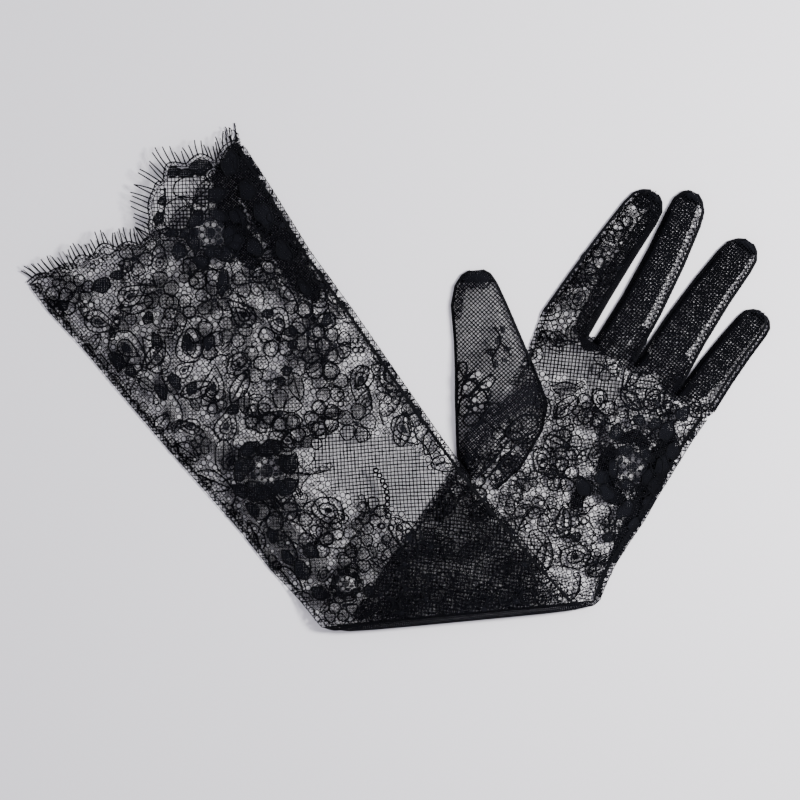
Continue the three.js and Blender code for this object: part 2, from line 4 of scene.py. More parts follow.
import bpy
import numpy as np
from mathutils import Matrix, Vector


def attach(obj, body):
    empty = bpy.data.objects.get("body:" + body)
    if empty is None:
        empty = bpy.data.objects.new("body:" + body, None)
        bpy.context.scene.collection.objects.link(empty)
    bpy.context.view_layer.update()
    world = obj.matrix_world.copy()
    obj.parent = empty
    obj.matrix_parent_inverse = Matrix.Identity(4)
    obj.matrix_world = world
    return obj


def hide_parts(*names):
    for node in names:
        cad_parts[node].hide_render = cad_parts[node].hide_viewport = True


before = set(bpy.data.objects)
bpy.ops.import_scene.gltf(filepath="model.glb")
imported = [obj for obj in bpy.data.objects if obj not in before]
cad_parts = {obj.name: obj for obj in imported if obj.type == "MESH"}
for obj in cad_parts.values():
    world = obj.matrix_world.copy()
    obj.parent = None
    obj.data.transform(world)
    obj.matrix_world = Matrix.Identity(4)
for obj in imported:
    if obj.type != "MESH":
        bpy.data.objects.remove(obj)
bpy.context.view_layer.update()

bl_info = {
    "name": "Lace Glove",
    "version": (1, 0, 0),
    "blender": (4, 5, 0),
    "location": "3D View > Sidebar > Lace Glove",
    "description": "Net, flowers, seams and eyelash hem for a laid lace glove",
    "category": "Add Mesh",
}

MM = 0.001
BODY = "root"

# Plan sizes are millimetres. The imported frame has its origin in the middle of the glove's box
BOX_MIDDLE = np.array([0.875, 0.81])

# Cloth and seams, as the solids have them
CLOTH = 1.0
LIP_WIDTH = 2.6
LIP_MIDDLE = 0.7
PLAIN_LIP = 0.5
ARM_FULLNESS = 6
FINGER_FULLNESS = 3
SWELL_POWER = 0.45
ARM_STATIONS = np.array([0, 0.04, 0.14, 0.28, 0.42, 0.58, 0.72, 0.86, 0.96, 1])
NARROW_STATIONS = np.array([0, 0.1, 0.35, 0.65, 0.9, 1])

# The fold across the wrist
FOLD_HEIGHT = 3.8
FOLD_RADIUS = 4.2
FOLD_START = np.array([-32.7, -113.9])
FOLD_END = np.array([96.1, -101.7])
FOLD_SHIFT = (12, 10.2)
FOLD_FALL = 25
HAND_EDGE = np.array([29.0, -39.6])
HAND_INWARD = np.array([0.825, -0.565])
EDGE_FALL = 22
ARM_LIFT = 2 * FOLD_RADIUS - FOLD_HEIGHT

FOLD_ALONG = (FOLD_END - FOLD_START) / np.linalg.norm(FOLD_END - FOLD_START)
FOLD_AWAY = np.array([FOLD_ALONG[1], -FOLD_ALONG[0]])
FOLD_BEFORE = (*(FOLD_START + FOLD_ALONG * FOLD_SHIFT[0]), *FOLD_END)
FOLD_AFTER = (*FOLD_START, *(FOLD_END - FOLD_ALONG * FOLD_SHIFT[1]))

# Lines across the tube: left x, left y, right x, right y, height
HAND_ROWS = (
    (69.5, 31.7, 145.4, -18.9, 6.6),
    (60.7, 8.3, 138.9, -28.1, 6.6),
    (50.6, -7.4, 131.6, -40.0, 6.0),
    (39.6, -23.5, 123.3, -53.4, 5.2),
    (29.0, -39.6, 116.8, -64.9, 4.3),
    (16.6, -58.0, 109.0, -76.4, 3.9),
    (3.7, -76.4, 103.0, -86.0, 3.8),
    (-9.2, -95.2, 98.9, -94.6, 3.8),
    (*FOLD_BEFORE, FOLD_HEIGHT),
)
ARM_ROWS = (
    (*FOLD_AFTER, FOLD_HEIGHT),
    (-42.8, -101.7, 70.4, -86.0, 4.2),
    (-56.1, -87.9, 56.6, -69.9, 4.8),
    (-69.9, -70.4, 40.5, -50.6, 5.4),
    (-86.0, -52.0, 23.9, -28.1, 5.9),
    (-104.4, -31.3, 4.6, -0.5, 6.5),
    (-124.7, -7.4, -17.0, 30.8, 7.0),
    (-144.0, 15.6, -37.7, 59.3, 7.2),
    (-158.7, 31.3, -56.1, 89.2, 7.2),
    (-168.8, 45.1, -70.8, 111.8, 7.2),
    (-177.8, 58.4, -79.8, 125.1, 7.2),
)
THUMB_ROWS = (
    (35.9, -45.0, 48.3, -51.1, 6.2),
    (29.9, -36.3, 59.8, -40.5, 8.2),
    (29.4, -23.5, 69.5, -23.5, 10.2),
    (29.0, -9.7, 71.8, -11.0, 10.6),
    (29.0, 3.2, 67.2, 1.8, 9.4),
    (28.5, 17.9, 60.3, 17.9, 7.2),
    (27.1, 34.0, 52.9, 35.0, 6.4),
    (28.8, 43.0, 48.6, 44.2, 5.6),
    (31.9, 47.8, 45.6, 48.6, 4.4),
    (35.6, 50.0, 42.2, 50.4, 3.2),
)

# Soft creases: from x, from y, to x, to y, width, rise
CREASES = (
    (96, 20, 112, -22, 7, 0.7),
    (118, 6, 126, -30, 6, -0.8),
    (86, -2, 78, -28, 7, -0.7),
    (-60, -62, -96, -20, 9, 0.9),
    (-20, -52, -64, 6, 8, -0.8),
    (-128, 22, -112, 48, 7, 0.8),
    (-88, 44, -74, 80, 8, -0.6),
)
THUMB_CREASES = (
    (70, -10, 33, -34, 5, -1.3),
    (66, -2, 44, 6, 6, 0.5),
)

# Fingers: base x, base y, tip x, tip y, width at base, width at tip, bow, left lip, right lip
FINGER_HEIGHT = 6.3
FINGER_THINNING = 0.92
FINGER_RIM = 1.1
TIP_HEIGHT = 0.62
TIP_ROUND = 0.13
TIP_LEAST_WIDTH = 0.3
ROOT_DEPTH = 14
ROOT_INSET = 0.6
FINGER_STATIONS = (0, 0.3, 0.6, 0.84, 0.92, 0.97, 0.995)
FINGERS = {
    "index": (79.4, 24.6, 121.4, 86.2, 24.4, 17.4, -0.8, LIP_WIDTH, PLAIN_LIP),
    "middle": (102.6, 12.9, 139.4, 86.4, 21.4, 16.8, 2, PLAIN_LIP, PLAIN_LIP),
    "ring": (123.8, 3.6, 165.2, 63.4, 24.2, 17.2, -1.6, PLAIN_LIP, PLAIN_LIP),
    "little": (141, -9.2, 171.2, 30.4, 19.6, 15.4, -0.9, PLAIN_LIP, LIP_WIDTH),
}

# Crotches: name, the fingers on both sides, x, y
CROTCHES = (
    ("index_middle", "index", "middle", 91.2, 16.8),
    ("middle_ring", "middle", "ring", 114.6, 9.8),
    ("ring_little", "ring", "little", 133.6, -3.8),
)
PARTING_SHARES = (0.1, 0.3, 0.5, 0.7, 0.9, 1.1)
PARTING_HALF = 0.3
FORK_WIDTH = 3.4
FORK_INSET = 1.4
FORK_CROTCH = 4.2
FORK_SHARES = (-0.02, 0.15, 0.35, 0.55, 0.7, 0.84)

THUMB_HOLE_AT = np.array([48.0, -19.0])
THUMB_HOLE_LONG = 18.5
THUMB_HOLE_SHORT = 9.5
THUMB_HOLE_TURN = 0.97

# The scalloped mouth: cusps along the mouth and outward from it, bulge of the lobe, lash angle and length
MOUTH_START = np.array([-168.8, 45.1])
MOUTH_ALONG = np.array([0.827, 0.563])
MOUTH_OUT = np.array([-0.563, 0.827])
MOUTH_LENGTH = 118.5
UPPER_HEM = (
    (0, -0.6, 1.6, 150, 6),
    (10.9, -2.8, 2, 136, 6.5),
    (20.5, -8.3, 4.2, 124, 6.5),
    (32.1, -8.5, 4.2, 116, 5.5),
    (43.7, -11.1, 2.4, 104, 6.5),
    (53.2, -16.7, 1.2, 112, 6.5),
    (59.3, -15.8, 0.8, 150, 7),
    (63.5, -8.5, 1.6, 162, 8),
    (72.7, 1.5, 1.5, 156, 9),
    (78.4, 2.1, 5.2, 140, 10.5),
    (91.4, 2.7, 4.2, 112, 6),
    (103.4, -4.1, 2.4, 104, 6),
    (118.5, -0.8, 0, 98, 7),
)
UNDER_HEM = (
    (0, -0.6, 1.6, 150, 6),
    (12, -3.6, 3, 132, 6),
    (25, -8.2, 3, 122, 6),
    (39, -11.6, 3, 114, 6),
    (53, -17, 2.6, 118, 6),
    (68, -16.6, 3, 130, 6),
    (84, -13.4, 3, 124, 6),
    (101, -8.6, 2.6, 116, 6),
    (118.5, -0.8, 0, 98, 7),
)
HEM_BAND = 1.95
HEM_STEP = 1.2

# Big open-centred roses: x, y, size, turn, ring radius, hole radius, holes round the ring, holes left open
ARM_ROSES = (
    (-57.6, -42.4, 11.5, 20, 4.4, 1, 9, 8),
    (-83.5, 67.2, 12, 65, 4, 1.1, 8, 6),
    (-21, -94, 6, 30, 2.7, 0.85, 7, 5),
)
PALM_ROSES = (
    (110.4, -40.5, 11, 40, 4, 1, 8, 8),
)

# Closed petals and leaves in close work, on the arm and on the palm: x, y, length, width, turn
ARM_PETALS = (
    (-88.3, 97.5, 11, 7, 0), (-100.7, 95.2, 7, 4.6, 10), (-94.3, 94.6, 9, 3.4, 4),
    (-105.3, 81.9, 4.5, 3, 60), (-107.2, 73.6, 6.5, 3.4, 70), (-101, 67, 6, 3, 10),
    (-74.5, 99, 12, 7, 80), (-66.6, 86.6, 10, 7, -66), (-80.5, 84.6, 9, 6, 30), (-59.2, 75.4, 13, 7, -60),
    (-70.8, 74.8, 9, 6, -30), (-49.6, 58.6, 12, 6, -58), (-72.2, 63, 9, 6, 20), (-76.8, 57.3, 10, 6, -20),
    (-40.2, 42.4, 9, 4, -55), (-97.7, 58.6, 8, 6, 80), (-93.8, 66.6, 7, 5, 20),
    (-77.5, 44.4, 13, 4.6, 84), (-63, 60.5, 9, 6, -50), (-87.5, 53.5, 8, 5, -30),
    (-126.5, 8.6, 9, 5, -50), (-120, 3.6, 6, 4, -60), (-108.1, 17.5, 7.5, 4, -70),
    (-94.3, 16.6, 7.5, 4, 85), (-84, 16.6, 7, 4.4, 60), (-46.5, 21.8, 6, 4.6, 0),
    (-45.6, 15.8, 4.4, 3.6, 30), (-48.4, 3.7, 4.6, 3.8, 0), (-51, -1, 4, 3.6, 40),
    (-151.3, 33.6, 5, 4, 20), (-126, 47.8, 6.5, 3.6, 10), (-133.3, 43, 9, 6, 20),
    (-56.1, -31.6, 12, 6, 8), (-46.4, -39, 10, 6, 74), (-60, -52.6, 14, 6, 6), (-69.3, -41.6, 11, 6, 80),
    (-47.6, -49.6, 10, 6, 40), (-69.6, -51.4, 8, 5, -40), (-66, -32, 8, 5, 40),
    (-41.4, -87.9, 10, 6, -60), (-33, -98.5, 9, 5, -20), (-37, -79, 8, 4.6, -40), (-48, -82, 8, 4, -60),
    (-10.5, -97, 6, 4, 10), (-64, -60, 8, 4, -50), (-55, -72, 7, 4, -70), (-99.8, -1, 8, 4.2, -60),
    (-92, -4.5, 6, 4, 70), (-106, -6, 8, 4, -55), (-73, -14, 6, 4, 20), (-30, 27, 6, 4, 70),
    (-57, 30, 5, 3.6, 10), (-112, 28, 6, 4, 60),
)
PALM_PETALS = (
    (126.5, -24, 10, 6, 60), (121, -20.5, 7, 4, 20), (129.5, -33, 9, 6, 75), (124.5, -40, 10, 6, 80),
    (121.5, -49, 9, 6, 60), (118.5, -57, 8, 5, 55), (99, -52.5, 10, 6, -45), (96.5, -45, 7, 5, 30),
    (88, -49.5, 10, 6, -60), (107.5, -60, 11, 5, 45), (112, -66.5, 8, 4, 40), (84.6, -72.7, 5, 4, 0),
    (99.8, -72.7, 6, 4, 30), (103, -24.5, 8, 5, 80), (113.5, -19, 6, 4, -30), (133.5, -16, 8, 5, 50),
)

# Outlined flowers in close net: x, y, size, turn, petals
ARM_BLOSSOMS = (
    (-51.5, -15.6, 11, 30, 6), (-65.3, 6.4, 8.5, 10, 5), (-81.5, 36.3, 9, 40, 6),
    (-28.5, -2.8, 8.5, 20, 5), (-72.2, 22.5, 8, 0, 5), (-106.7, 40.3, 9, 15, 5), (-143.5, 40.9, 7, 20, 5),
    (-26.2, 15.6, 8, 35, 5), (-42.3, 36.3, 8, 5, 5), (-65.3, 45, 8, 25, 5), (-97.5, 31.7, 7.5, 60, 5),
    (-42.3, -60.3, 8, 12, 5), (-17, -83.3, 7.5, 40, 5), (-28.5, -69.5, 6.5, 44, 5), (-118, 55, 8, 0, 5),
    (-5, -99, 8, 10, 5), (6, -85, 7, 30, 5), (-22, -104, 7, 50, 5), (16, -101, 7, 15, 5),
    (-36.6, -26, 6.5, 10, 5),
)
PALM_BLOSSOMS = (
    (80, -30.4, 7.5, 20, 5), (78.7, -22.5, 5, 0, 6), (62.1, -46, 5.4, 30, 6), (74.5, -43.2, 7.5, 12, 5),
    (70, -60.5, 7.5, 50, 5), (93.8, -84.2, 6, 15, 5), (85, -62, 6.5, 35, 5), (88.5, -16.5, 6, 5, 5),
    (97, -20, 6, 30, 5),
)

# Big petals of clear net in the scallop: x, y, half length, half width, turn
SCALLOP_PETALS = (
    (-92, 88.5, 8.6, 5, 15), (-98.6, 75.5, 7.4, 6.4, 80), (-88, 79.5, 4.6, 3.4, 60),
)

# Nested drops with pearls between them: x, y, size, turn
ARM_PAISLEYS = (
    (-122, 14, 11, -48), (-93, 15, 9.5, 78), (-108, 10, 9, 110), (-82, -4, 8.5, 70),
    (-135, 26, 8, -30), (-76, -22, 8, 60), (-120, 38, 7.5, 20), (-52, 27, 7.5, -70),
)

# Curved rows of ringed holes: start x, start y, end x, end y, bulge, holes, hole radius
ARM_HOLE_ROWS = (
    (-61, -1, -52.5, -1.2, -1.6, 5, 0.9), (-47.8, -75.4, -38.6, -88.4, 3, 6, 0.9),
    (-37, -72.6, -22, -79, -3, 6, 0.9), (-105.6, 88, -107.6, 71, 0.8, 9, 0.85),
    (-92.2, 81.5, -86.4, 78, -0.8, 4, 0.8), (-64.5, 43, -60.5, 33, 2, 5, 1),
    (-96, 25, -84, 25, 2.4, 6, 0.95), (-52, 44, -44, 30, 1.6, 6, 0.9),
    (-128.2, 52, -121, 43.5, 2.2, 5, 0.85), (-84, 5, -74, 9, 2.5, 5, 0.9),
    (-141, 57, -132, 52.6, 1, 5, 0.85), (-88, -22, -80, -30, 1.8, 5, 0.8),
    (-48, -66, -40, -72, 1, 5, 0.85), (-68, -24, -60, -27, 1, 5, 0.8),
)
PALM_HOLE_ROWS = (
    (67.5, -43.5, 77.5, -46.5, 2.4, 6, 0.95), (64, -55, 72, -63.5, 2, 6, 0.95),
    (80.6, -65, 92, -69.6, 2.6, 6, 0.95), (98, -57.4, 107, -59, 1.2, 5, 0.85),
    (119, -36.6, 125, -34.6, 0.6, 4, 0.8), (70.5, -33.4, 75, -24.5, 1, 5, 0.85),
    (69, -40, 74, -38, 0.6, 3, 1), (86, -36, 93, -33, 1, 4, 0.8), (78, -74, 88, -79, 1.4, 5, 0.9),
)
THUMB_HOLE_ROWS = (
    (33.5, -4, 39.5, 2.4, 0.8, 4, 1.25), (37.6, -9.6, 44.6, -2.4, 1, 4, 1.25),
    (31.6, -8.6, 32.4, -1.8, 0.4, 3, 1.1), (35.6, -15.6, 41, -12.6, 0.4, 3, 1.1),
    (40, -46.6, 54.8, -29.4, -0.8, 8, 1.25), (43.6, -47.6, 57.4, -31.8, -0.8, 7, 1.15),
)

# Clear ground without flowers, the scallop's and the rest: x, y, half length, half width, turn
SCALLOP = (-98, 82, 15, 17, 0)
ARM_CLEAR = (
    (-8, -42, 32, 17, -20), (-20, -34, 18, 12, 0), (10, -50, 26, 14, -30), SCALLOP,
)
PALM_CLEAR = (
    (82, 8, 15, 11, 10), (100, -2, 12, 7, -20), (60, -4, 9, 14, 20),
    (34, -78, 34, 18, -8), (30, -92, 40, 20, 0),
)

# Bold berries in the arm's clear place: x, y, hole radius
ARM_BERRIES = (
    (-1.8, -62.8, 0.95), (-4.6, -67.6, 0.9), (-0.6, -68.4, 0.95), (3.4, -68.2, 1), (7.6, -70.2, 1),
    (5.4, -73.4, 0.8),
)

# The berries' stem: from, to, bulge, pearls on it, their hole radius
BERRY_STEM = ((-7.4, -42), (-2.4, -60.4), 2.2, 8, 0.62)

# What a scattered spray may be, and how often
SPRAY_KINDS = ("blossom", "leaf", "bubble", "berries", "sprig", "paisley", "holes")
SPRAY_SHARES = (0.25, 0.19, 0.07, 0.17, 0.05, 0.12, 0.15)
SMALL_SPRAY = 4.5

# Where the net is closer, on the arm and on the palm: x, y, half length, half width, turn
ARM_SHADES = (
    (-142, 33, 12, 5, -48), (-124, 12, 14, 6, -48), (-105, -8, 14, 7, -48), (-86, -31, 14, 7, -50),
    (-66, -56, 14, 9, -52), (-50, -77, 14, 10, -52), (-36, -96, 12, 9, -40), (-150, 45, 9, 5, 20),
    (-50, -62, 10, 7, -30), (-38, -86, 12, 8, -50), (-100, 44, 11, 6, 10), (-78, -12, 10, 7, 30),
    (-62, 18, 8, 6, 60), (-10, -106, 18, 4, 5), (-112, 26, 9, 6, 100), (-52, 44, 9, 6, -50),
    (-24, -90, 9, 6, 20), (-36, 10, 7, 5, 0), (22, -106, 18, 4, 5), (-86, 28, 8, 5, 80),
)
PALM_SHADES = ((97, 52, 36, 9, 57), (84, 28, 12, 7, 57))

# Dark bunched lace on the arm and the palm: half width, then a plan path
ARM_BUNCHES = (
    (6.4, ((-73.4, 108), (-66, 90), (-56.5, 71.5), (-45.5, 52.5), (-34, 36))),
    (5.6, ((-79, 99.4), (-76.4, 84.3), (-70.9, 66.9), (-62.6, 50.8))),
)
PALM_BUNCHES = (
    (5.6, ((129, -24), (122.6, -42), (115, -58.3), (106.8, -73.4), (101, -84))),
    (4, ((101.5, -31), (98, -42), (100, -52), (108, -58))),
    (3, ((104, -28), (112, -26), (118, -31))),
    (3.2, ((92, -47), (87, -52), (84, -60))),
)

# Clear net in the fingers: x, y, half length, half width, turn
FINGER_CLEAR = (
    (121, 48, 44, 12, 64), (144, 32, 40, 14, 55), (156, 11, 28, 12, 52),
)

# Closed petals on the thumb: x, y, length, width, turn
THUMB_PETALS = (
    (49, 18, 5.4, 2.8, 50), (45, 12, 4.8, 2.6, -30), (53, 13.5, 4.4, 2.6, 20), (50.8, 22.8, 4, 2.4, -60),
    (47.5, 6.6, 4.4, 2.4, 70), (51.5, 8.6, 3.4, 2.2, -20), (33, -39.5, 6, 4.6, 50), (30.6, -36, 4, 3, 80),
)

# Dark bunched bands on the thumb: half width, then a plan path
THUMB_BANDS = (
    (4.6, ((67.5, -2), (61, -8.5), (53, -13.5), (44, -20), (37.5, -28), (34, -36), (31.5, -41))),
    (3.8, ((69, -9), (67, -20), (64, -30), (59.5, -38), (53.5, -46))),
    (3.2, ((66.2, -1), (63.2, 8), (60, 17), (56.6, 26), (53.5, 34))),
    (2, ((30.4, 27), (30.6, 34), (31.8, 40), (33.8, 45))),
    (3.4, ((33.2, 43.6), (38.5, 45.8), (45, 43.4))),
)

# Dark bunched net along the fingers: finger, first and last row, left and right share
FINGER_BANDS = (
    ("index", 1, 6.6, 0.58, 0.97), ("index", 4.2, 6.8, 0.12, 0.62), ("middle", 0.75, 6.9, 0.02, 0.76),
    ("ring", 0.85, 6.9, 0.03, 0.81), ("little", 0.95, 6.8, 0.03, 0.74),
)

# Dark bunched net round the crotches: half width, then a plan path
CROTCH_BANDS = (
    (3.6, ((86.5, 19.5), (91.2, 15.6), (96.5, 14.6))),
    (5, ((104.5, 14), (110.5, 8.5), (117, 6), (121.5, 5))),
    (4.4, ((124.5, 2), (131, -5), (138.5, -9))),
    (3.4, ((111.6, 9), (113.6, 16.5), (117, 24))),
    (3.2, ((130, -4), (132, 3.5), (136, 11))),
)

# Outlined cells on the thumb: x, y, half length, half width, turn
THUMB_CELLS = (
    (31.8, 3.4, 4.6, 2.3, 75), (35.2, -4, 4.8, 2.6, 50), (41, -8.4, 4.8, 2.6, 30),
    (33.2, -12.4, 4.8, 2.6, 80), (43.6, -1.8, 4.2, 2.2, 40), (37, -18.4, 4.6, 2.5, 20),
    (46.5, -13.6, 4, 2.4, -10), (60, -22, 8, 4.5, 30),
)

# Stems on the thumb, as plan paths
THUMB_VINES = (
    ((47, 24), (49.5, 20.5), (50, 16.5), (48, 13), (46, 9.5), (47, 5.5)),
    ((50, 16.5), (53, 14), (54.5, 10.5)), ((48, 13), (44.5, 13.5), (42, 11)),
    ((30.5, 6), (33, 1), (38, -1.5), (43, -6.5), (45, -12), (42, -17)),
    ((34, -12), (38, -15.5), (44, -20), (49, -24)),
)

# Scattered sprays of each cloth: seed, sizes, distance between them against their size
SPRAYS = {
    "arm_upper": (11, (8.6, 6.6, 5.0, 3.8, 3.0), 0.82),
    "arm_under": (23, (9.5, 7.0), 1.9),
    "palm": (37, (7.4, 5.8, 4.4, 3.2), 0.8),
    "back": (41, (8.0, 6.0), 1.8),
}
SPRAY_ROOM = 0.74
BOLD_WEIGHT = 1.2
BERRY_WEIGHT = 1.5

# Nets: turn of the open net, turn of the finer one among flowers, seed, cells to a stride, outlines' weight
CLOTH_NETS = {
    "arm_upper": (3.0, 38.0, 101, 1, 1.0),
    "arm_under": (3.0, 3.0, 102, 2, 1.0),
    "palm": (-7.0, 20.0, 103, 1, 0.95),
    "back": (-7.0, -7.0, 104, 2, 1.0),
    "thumb_upper": (45.0, 45.0, 105, 1, 1.8),
    "thumb_under": (45.0, 45.0, 106, 1, 1.0),
}
FIELD_SEED_STEP = 50
CLOSE_SEED_STEP = 60
FORK_SEED = 110
HEM_SEED = 120
LASH_SEED = 130
FINGER_SEED = 140
FORK_TURN = 20.0
HEM_TURN = 35.0
FINGER_TURN = 42.0
NET_JITTER = 0.09

# Net pitches where the lace is bunched or narrow
BEND_PITCH = 0.95
FINGER_PITCH = 1.25
HEM_PITCH = 1.4
THUMB_CLOSENESS = 0.84

# Thread thickness against the cloth's own
CLOSE_SHARE = 0.8
BEND_SHARE = 0.75
HEM_SHARE = 0.75
FINGER_SHARE = 0.7
THUMB_UNDER_SHARE = 0.7
FORK_THREAD_SHARE = 0.78
STITCH_SHARE = 0.8
RING_SHARE = 0.75
UNDER_HEM_SHARE = 0.5

# How high threads lie over the middle of their cloth, and how thick closed work is
OUTLINE_LIFT = 0.14
RING_LIFT = 0.1
EDGE_LIFT = 0.1
SEAM_LIFT = 0.15
STITCH_LIFT = 0.3
BORDER_LIFT = 0.05
CLOSE_WORK_THICKNESS = 0.38
BAND_COLUMNS = 7
THUMB_COLUMNS = 5
TIP_THICKNESS = 0.4
BAND_THICKNESS = 0.3

# How much wider than a ringed hole the window under it is, in an under cloth and under the thumb
WINDOW_GROWTH = 2.1
THUMB_WINDOW_GROWTH = 1.7

# Thread finishes: dye, how much paler dust makes it, ridges, least roughness, most roughness, relief. The
# ridges also set the painted shade in their grooves
THREAD_LOOKS = {
    "Net thread": ("net_colour", 1.7, 1900.0, 0.55, 0.8, 0.5),
    "Outline thread": ("flower_colour", 1.8, 1300.0, 0.45, 0.7, 0.7),
    "Fourchette thread": ("net_colour", 1.5, 2200.0, 0.55, 0.8, 0.5),
    "Seam thread": ("seam_colour", 1.7, 1100.0, 0.5, 0.75, 0.8),
    "Eyelash thread": ("net_colour", 1.8, 2600.0, 0.5, 0.75, 0.4),
}

# Close weaves: dye, dust, threads, openness, patchiness, relief, turn
WEAVE_LOOKS = {
    "Close work": ("flower_colour", 1.8, 400.0, 0.36, 0.5, 0.9, 0.0),
    "Fine arm net": ("net_colour", 1.3, 330.0, 0.66, 0.4, 0.8, 38.0),
    "Fine finger net": ("net_colour", 1.3, 240.0, 1.06, 0.9, 0.8, 38.0),
    "Fine palm net": ("net_colour", 1.3, 330.0, 0.6, 0.4, 0.8, 20.0),
    "Fine thumb net": ("net_colour", 1.3, 330.0, 0.76, 0.4, 0.8, -40.0),
}

# What all finishes share. Relief depth is in metres, patches are counted per metre, and the painted shade in
# the relief's hollows darkens the tone by its share
WEAVE_ROUGHNESS = (0.65, 0.9)
DUST = 0.0006
THREAD_SHINE = 0.04
FLOOR_SHINE = 0.3
HOLLOW_SHADE_DEPTH = 0.6
RELIEF_DEPTH = 0.0001
PATCH_SCALE = 420.0

# The slanted stitch: its direction along and across the seam, and how far back it starts
STITCH_DIRECTION = (0.55, 0.83, 0.12)
STITCH_START = -0.42

# Stage: metres, and the colours of light
FLOOR_HALF = 3.0
LAMP_AT = (0.6, 0.09, 0.6)
LAMP_SIZE = 0.22
LAMP_COLOUR = (1.0, 0.99, 0.97)
ROOM_COLOUR = (0.92, 0.9, 1.0, 1)
LENS = 135
SENSOR = 36
VIEW_END = 20

# Where a net node lies whatever cloth the net is laid on
NET_ORIGIN = np.array([0.0, -40.0])

# Net pitch and thickness of each strip's near leg, far leg and crotch
FORK_NETS = {
    "index_middle": ((0.66, 1.0), (0.66, 1.0), (0.62, 1.0)),
    "middle_ring": ((1.7, 1.2), (0.72, 1.0), (0.68, 1.0)),
    "ring_little": ((1.6, 1.2), (0.68, 1.0), (0.68, 1.0)),
}

# Threads round a finger's edge: inset and thickness. Threads up its steep sides: how far past its seam
EDGE_LINES = ((0.35, 1.0), (0.95, 1.0))
WALL_LINES = (0.4, 0.95)
WALL_ROWS = (1.2, 6.4)
WALL_SHARE = 0.42
THUMB_EDGE_LINES = ((0.35, 1.2), (1.0, 0.9))
THUMB_TIP_INSET = 0.5
THUMB_TIP_ROWS = (7.3, 7.1)

# Seam threads on each side: how far in from the edge, and thickness
SEAM_INSET = 0.25
SEAM_LINES = {
    "left": ((LIP_WIDTH, 1.0), (SEAM_INSET, 0.8)),
    "right": ((LIP_WIDTH, 1.4), (LIP_WIDTH + 0.5, 1.3), (LIP_WIDTH + 1.0, 1.0), (SEAM_INSET, 0.9)),
}

# The close cap at a finger's tip: rows from the end, and inset
TIP_ROWS = 1.6
TIP_INSET = 0.7

# The hem's net lies between this inset and the band's. Hems: cusps, side, thickness of borders and lashes
HEM_EDGE = 0.15
HEMS = ((UPPER_HEM, "back", 1.0), (UNDER_HEM, "palm", UNDER_HEM_SHARE))

# Eyelash threads: where they root against their length, points, thickness at the tip, height of the tip
LASH_ROOT = -0.12
LASH_POINTS = 6
LASH_TIP_SHARE = 0.78
LASH_REST = 0.35

# A few long loose threads at the hem's upper corner
CURLS = 4
CURL_POINTS = 14
CURL_STEP = 0.8
CURL_TURN = 8
CURL_SHARE = 0.6
CURLS_AT = np.array([-74.6, 109.8])

# Where the photograph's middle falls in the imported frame, in millimetres
VIEW_MIDDLE = (2.805, -10.47)

THREAD_TREE = "Thread along paths"
STITCH_TREE = "Stitches along paths"


def cross(a, b):
    """The plan cross product of vectors."""
    return a[..., 0] * b[..., 1] - a[..., 1] * b[..., 0]


def smooth(t):
    """An even rise from 0 to 1."""
    t = np.clip(t, 0, 1)
    return t * t * (3 - 2 * t)


def unit(vector):
    """A vector's direction."""
    return vector / np.linalg.norm(vector)


def heading(degrees):
    """The plan direction of an angle from +X."""
    return np.array([math.cos(math.radians(degrees)), math.sin(math.radians(degrees))])


def turned(points, degrees):
    """Plan points turned about the origin."""
    along = heading(degrees)
    return np.stack([points @ (along * [1, -1]), points @ along[::-1]], axis=-1)


def aside_of(along):
    """The directions to the left of plan directions."""
    return np.stack([-along[..., 1], along[..., 0]], axis=-1)


def asides(path):
    """The direction to the left at each point of a plan path."""
    onward = np.gradient(path, axis=0)
    return aside_of(onward / np.linalg.norm(onward, axis=1)[:, None])


def walk(path):
    """How far along a plan path each of its points lies."""
    return np.concatenate([[0], np.cumsum(np.linalg.norm(np.diff(path, axis=0), axis=1))])


def angles(steps):
    """Even angles round a circle."""
    return np.linspace(0, 2 * math.pi, steps, endpoint=False)


def in_metres(points):
    """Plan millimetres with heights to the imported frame's metres."""
    placed = np.array(points, float)
    placed[:, :2] -= BOX_MIDDLE
    return placed * MM


def crease_at(points, creases):
    """How far soft creases raise the cloth."""
    rise = np.zeros(len(points))
    for from_x, from_y, to_x, to_y, width, height in creases:
        start = np.array([from_x, from_y])
        span = np.array([to_x - from_x, to_y - from_y])
        along = np.clip((points - start) @ span / (span @ span), 0, 1)
        away = points - start - along[:, None] * span
        rise += height * np.exp(-np.sum(away ** 2, axis=1) / width ** 2)
    return rise


def arm_lift(points):
    """How high the arm lies: on the hand next to the fold, and down to the table beyond the hand."""
    on_hand = smooth((points - HAND_EDGE) @ HAND_INWARD / EDGE_FALL + 1)
    near_fold = 1 - smooth(-((points - FOLD_START) @ FOLD_AWAY) / FOLD_FALL)
    return ARM_LIFT * (1 - (1 - on_hand) * (1 - near_fold))


def place_hand(points, depth, swell, height, is_back):
    """Height of the hand's cloth."""
    return depth if is_back else depth + crease_at(points, CREASES) * swell


def place_arm(points, depth, swell, height, is_back):
    """Height of the arm's cloth, which the fold has turned over."""
    rise = crease_at(points, CREASES) * swell if is_back else 0
    return arm_lift(points) + height - depth + rise


def place_thumb(points, depth, swell, height, is_back):
    """Height of the thumb's cloth."""
    return depth if is_back else depth + crease_at(points, THUMB_CREASES) * swell


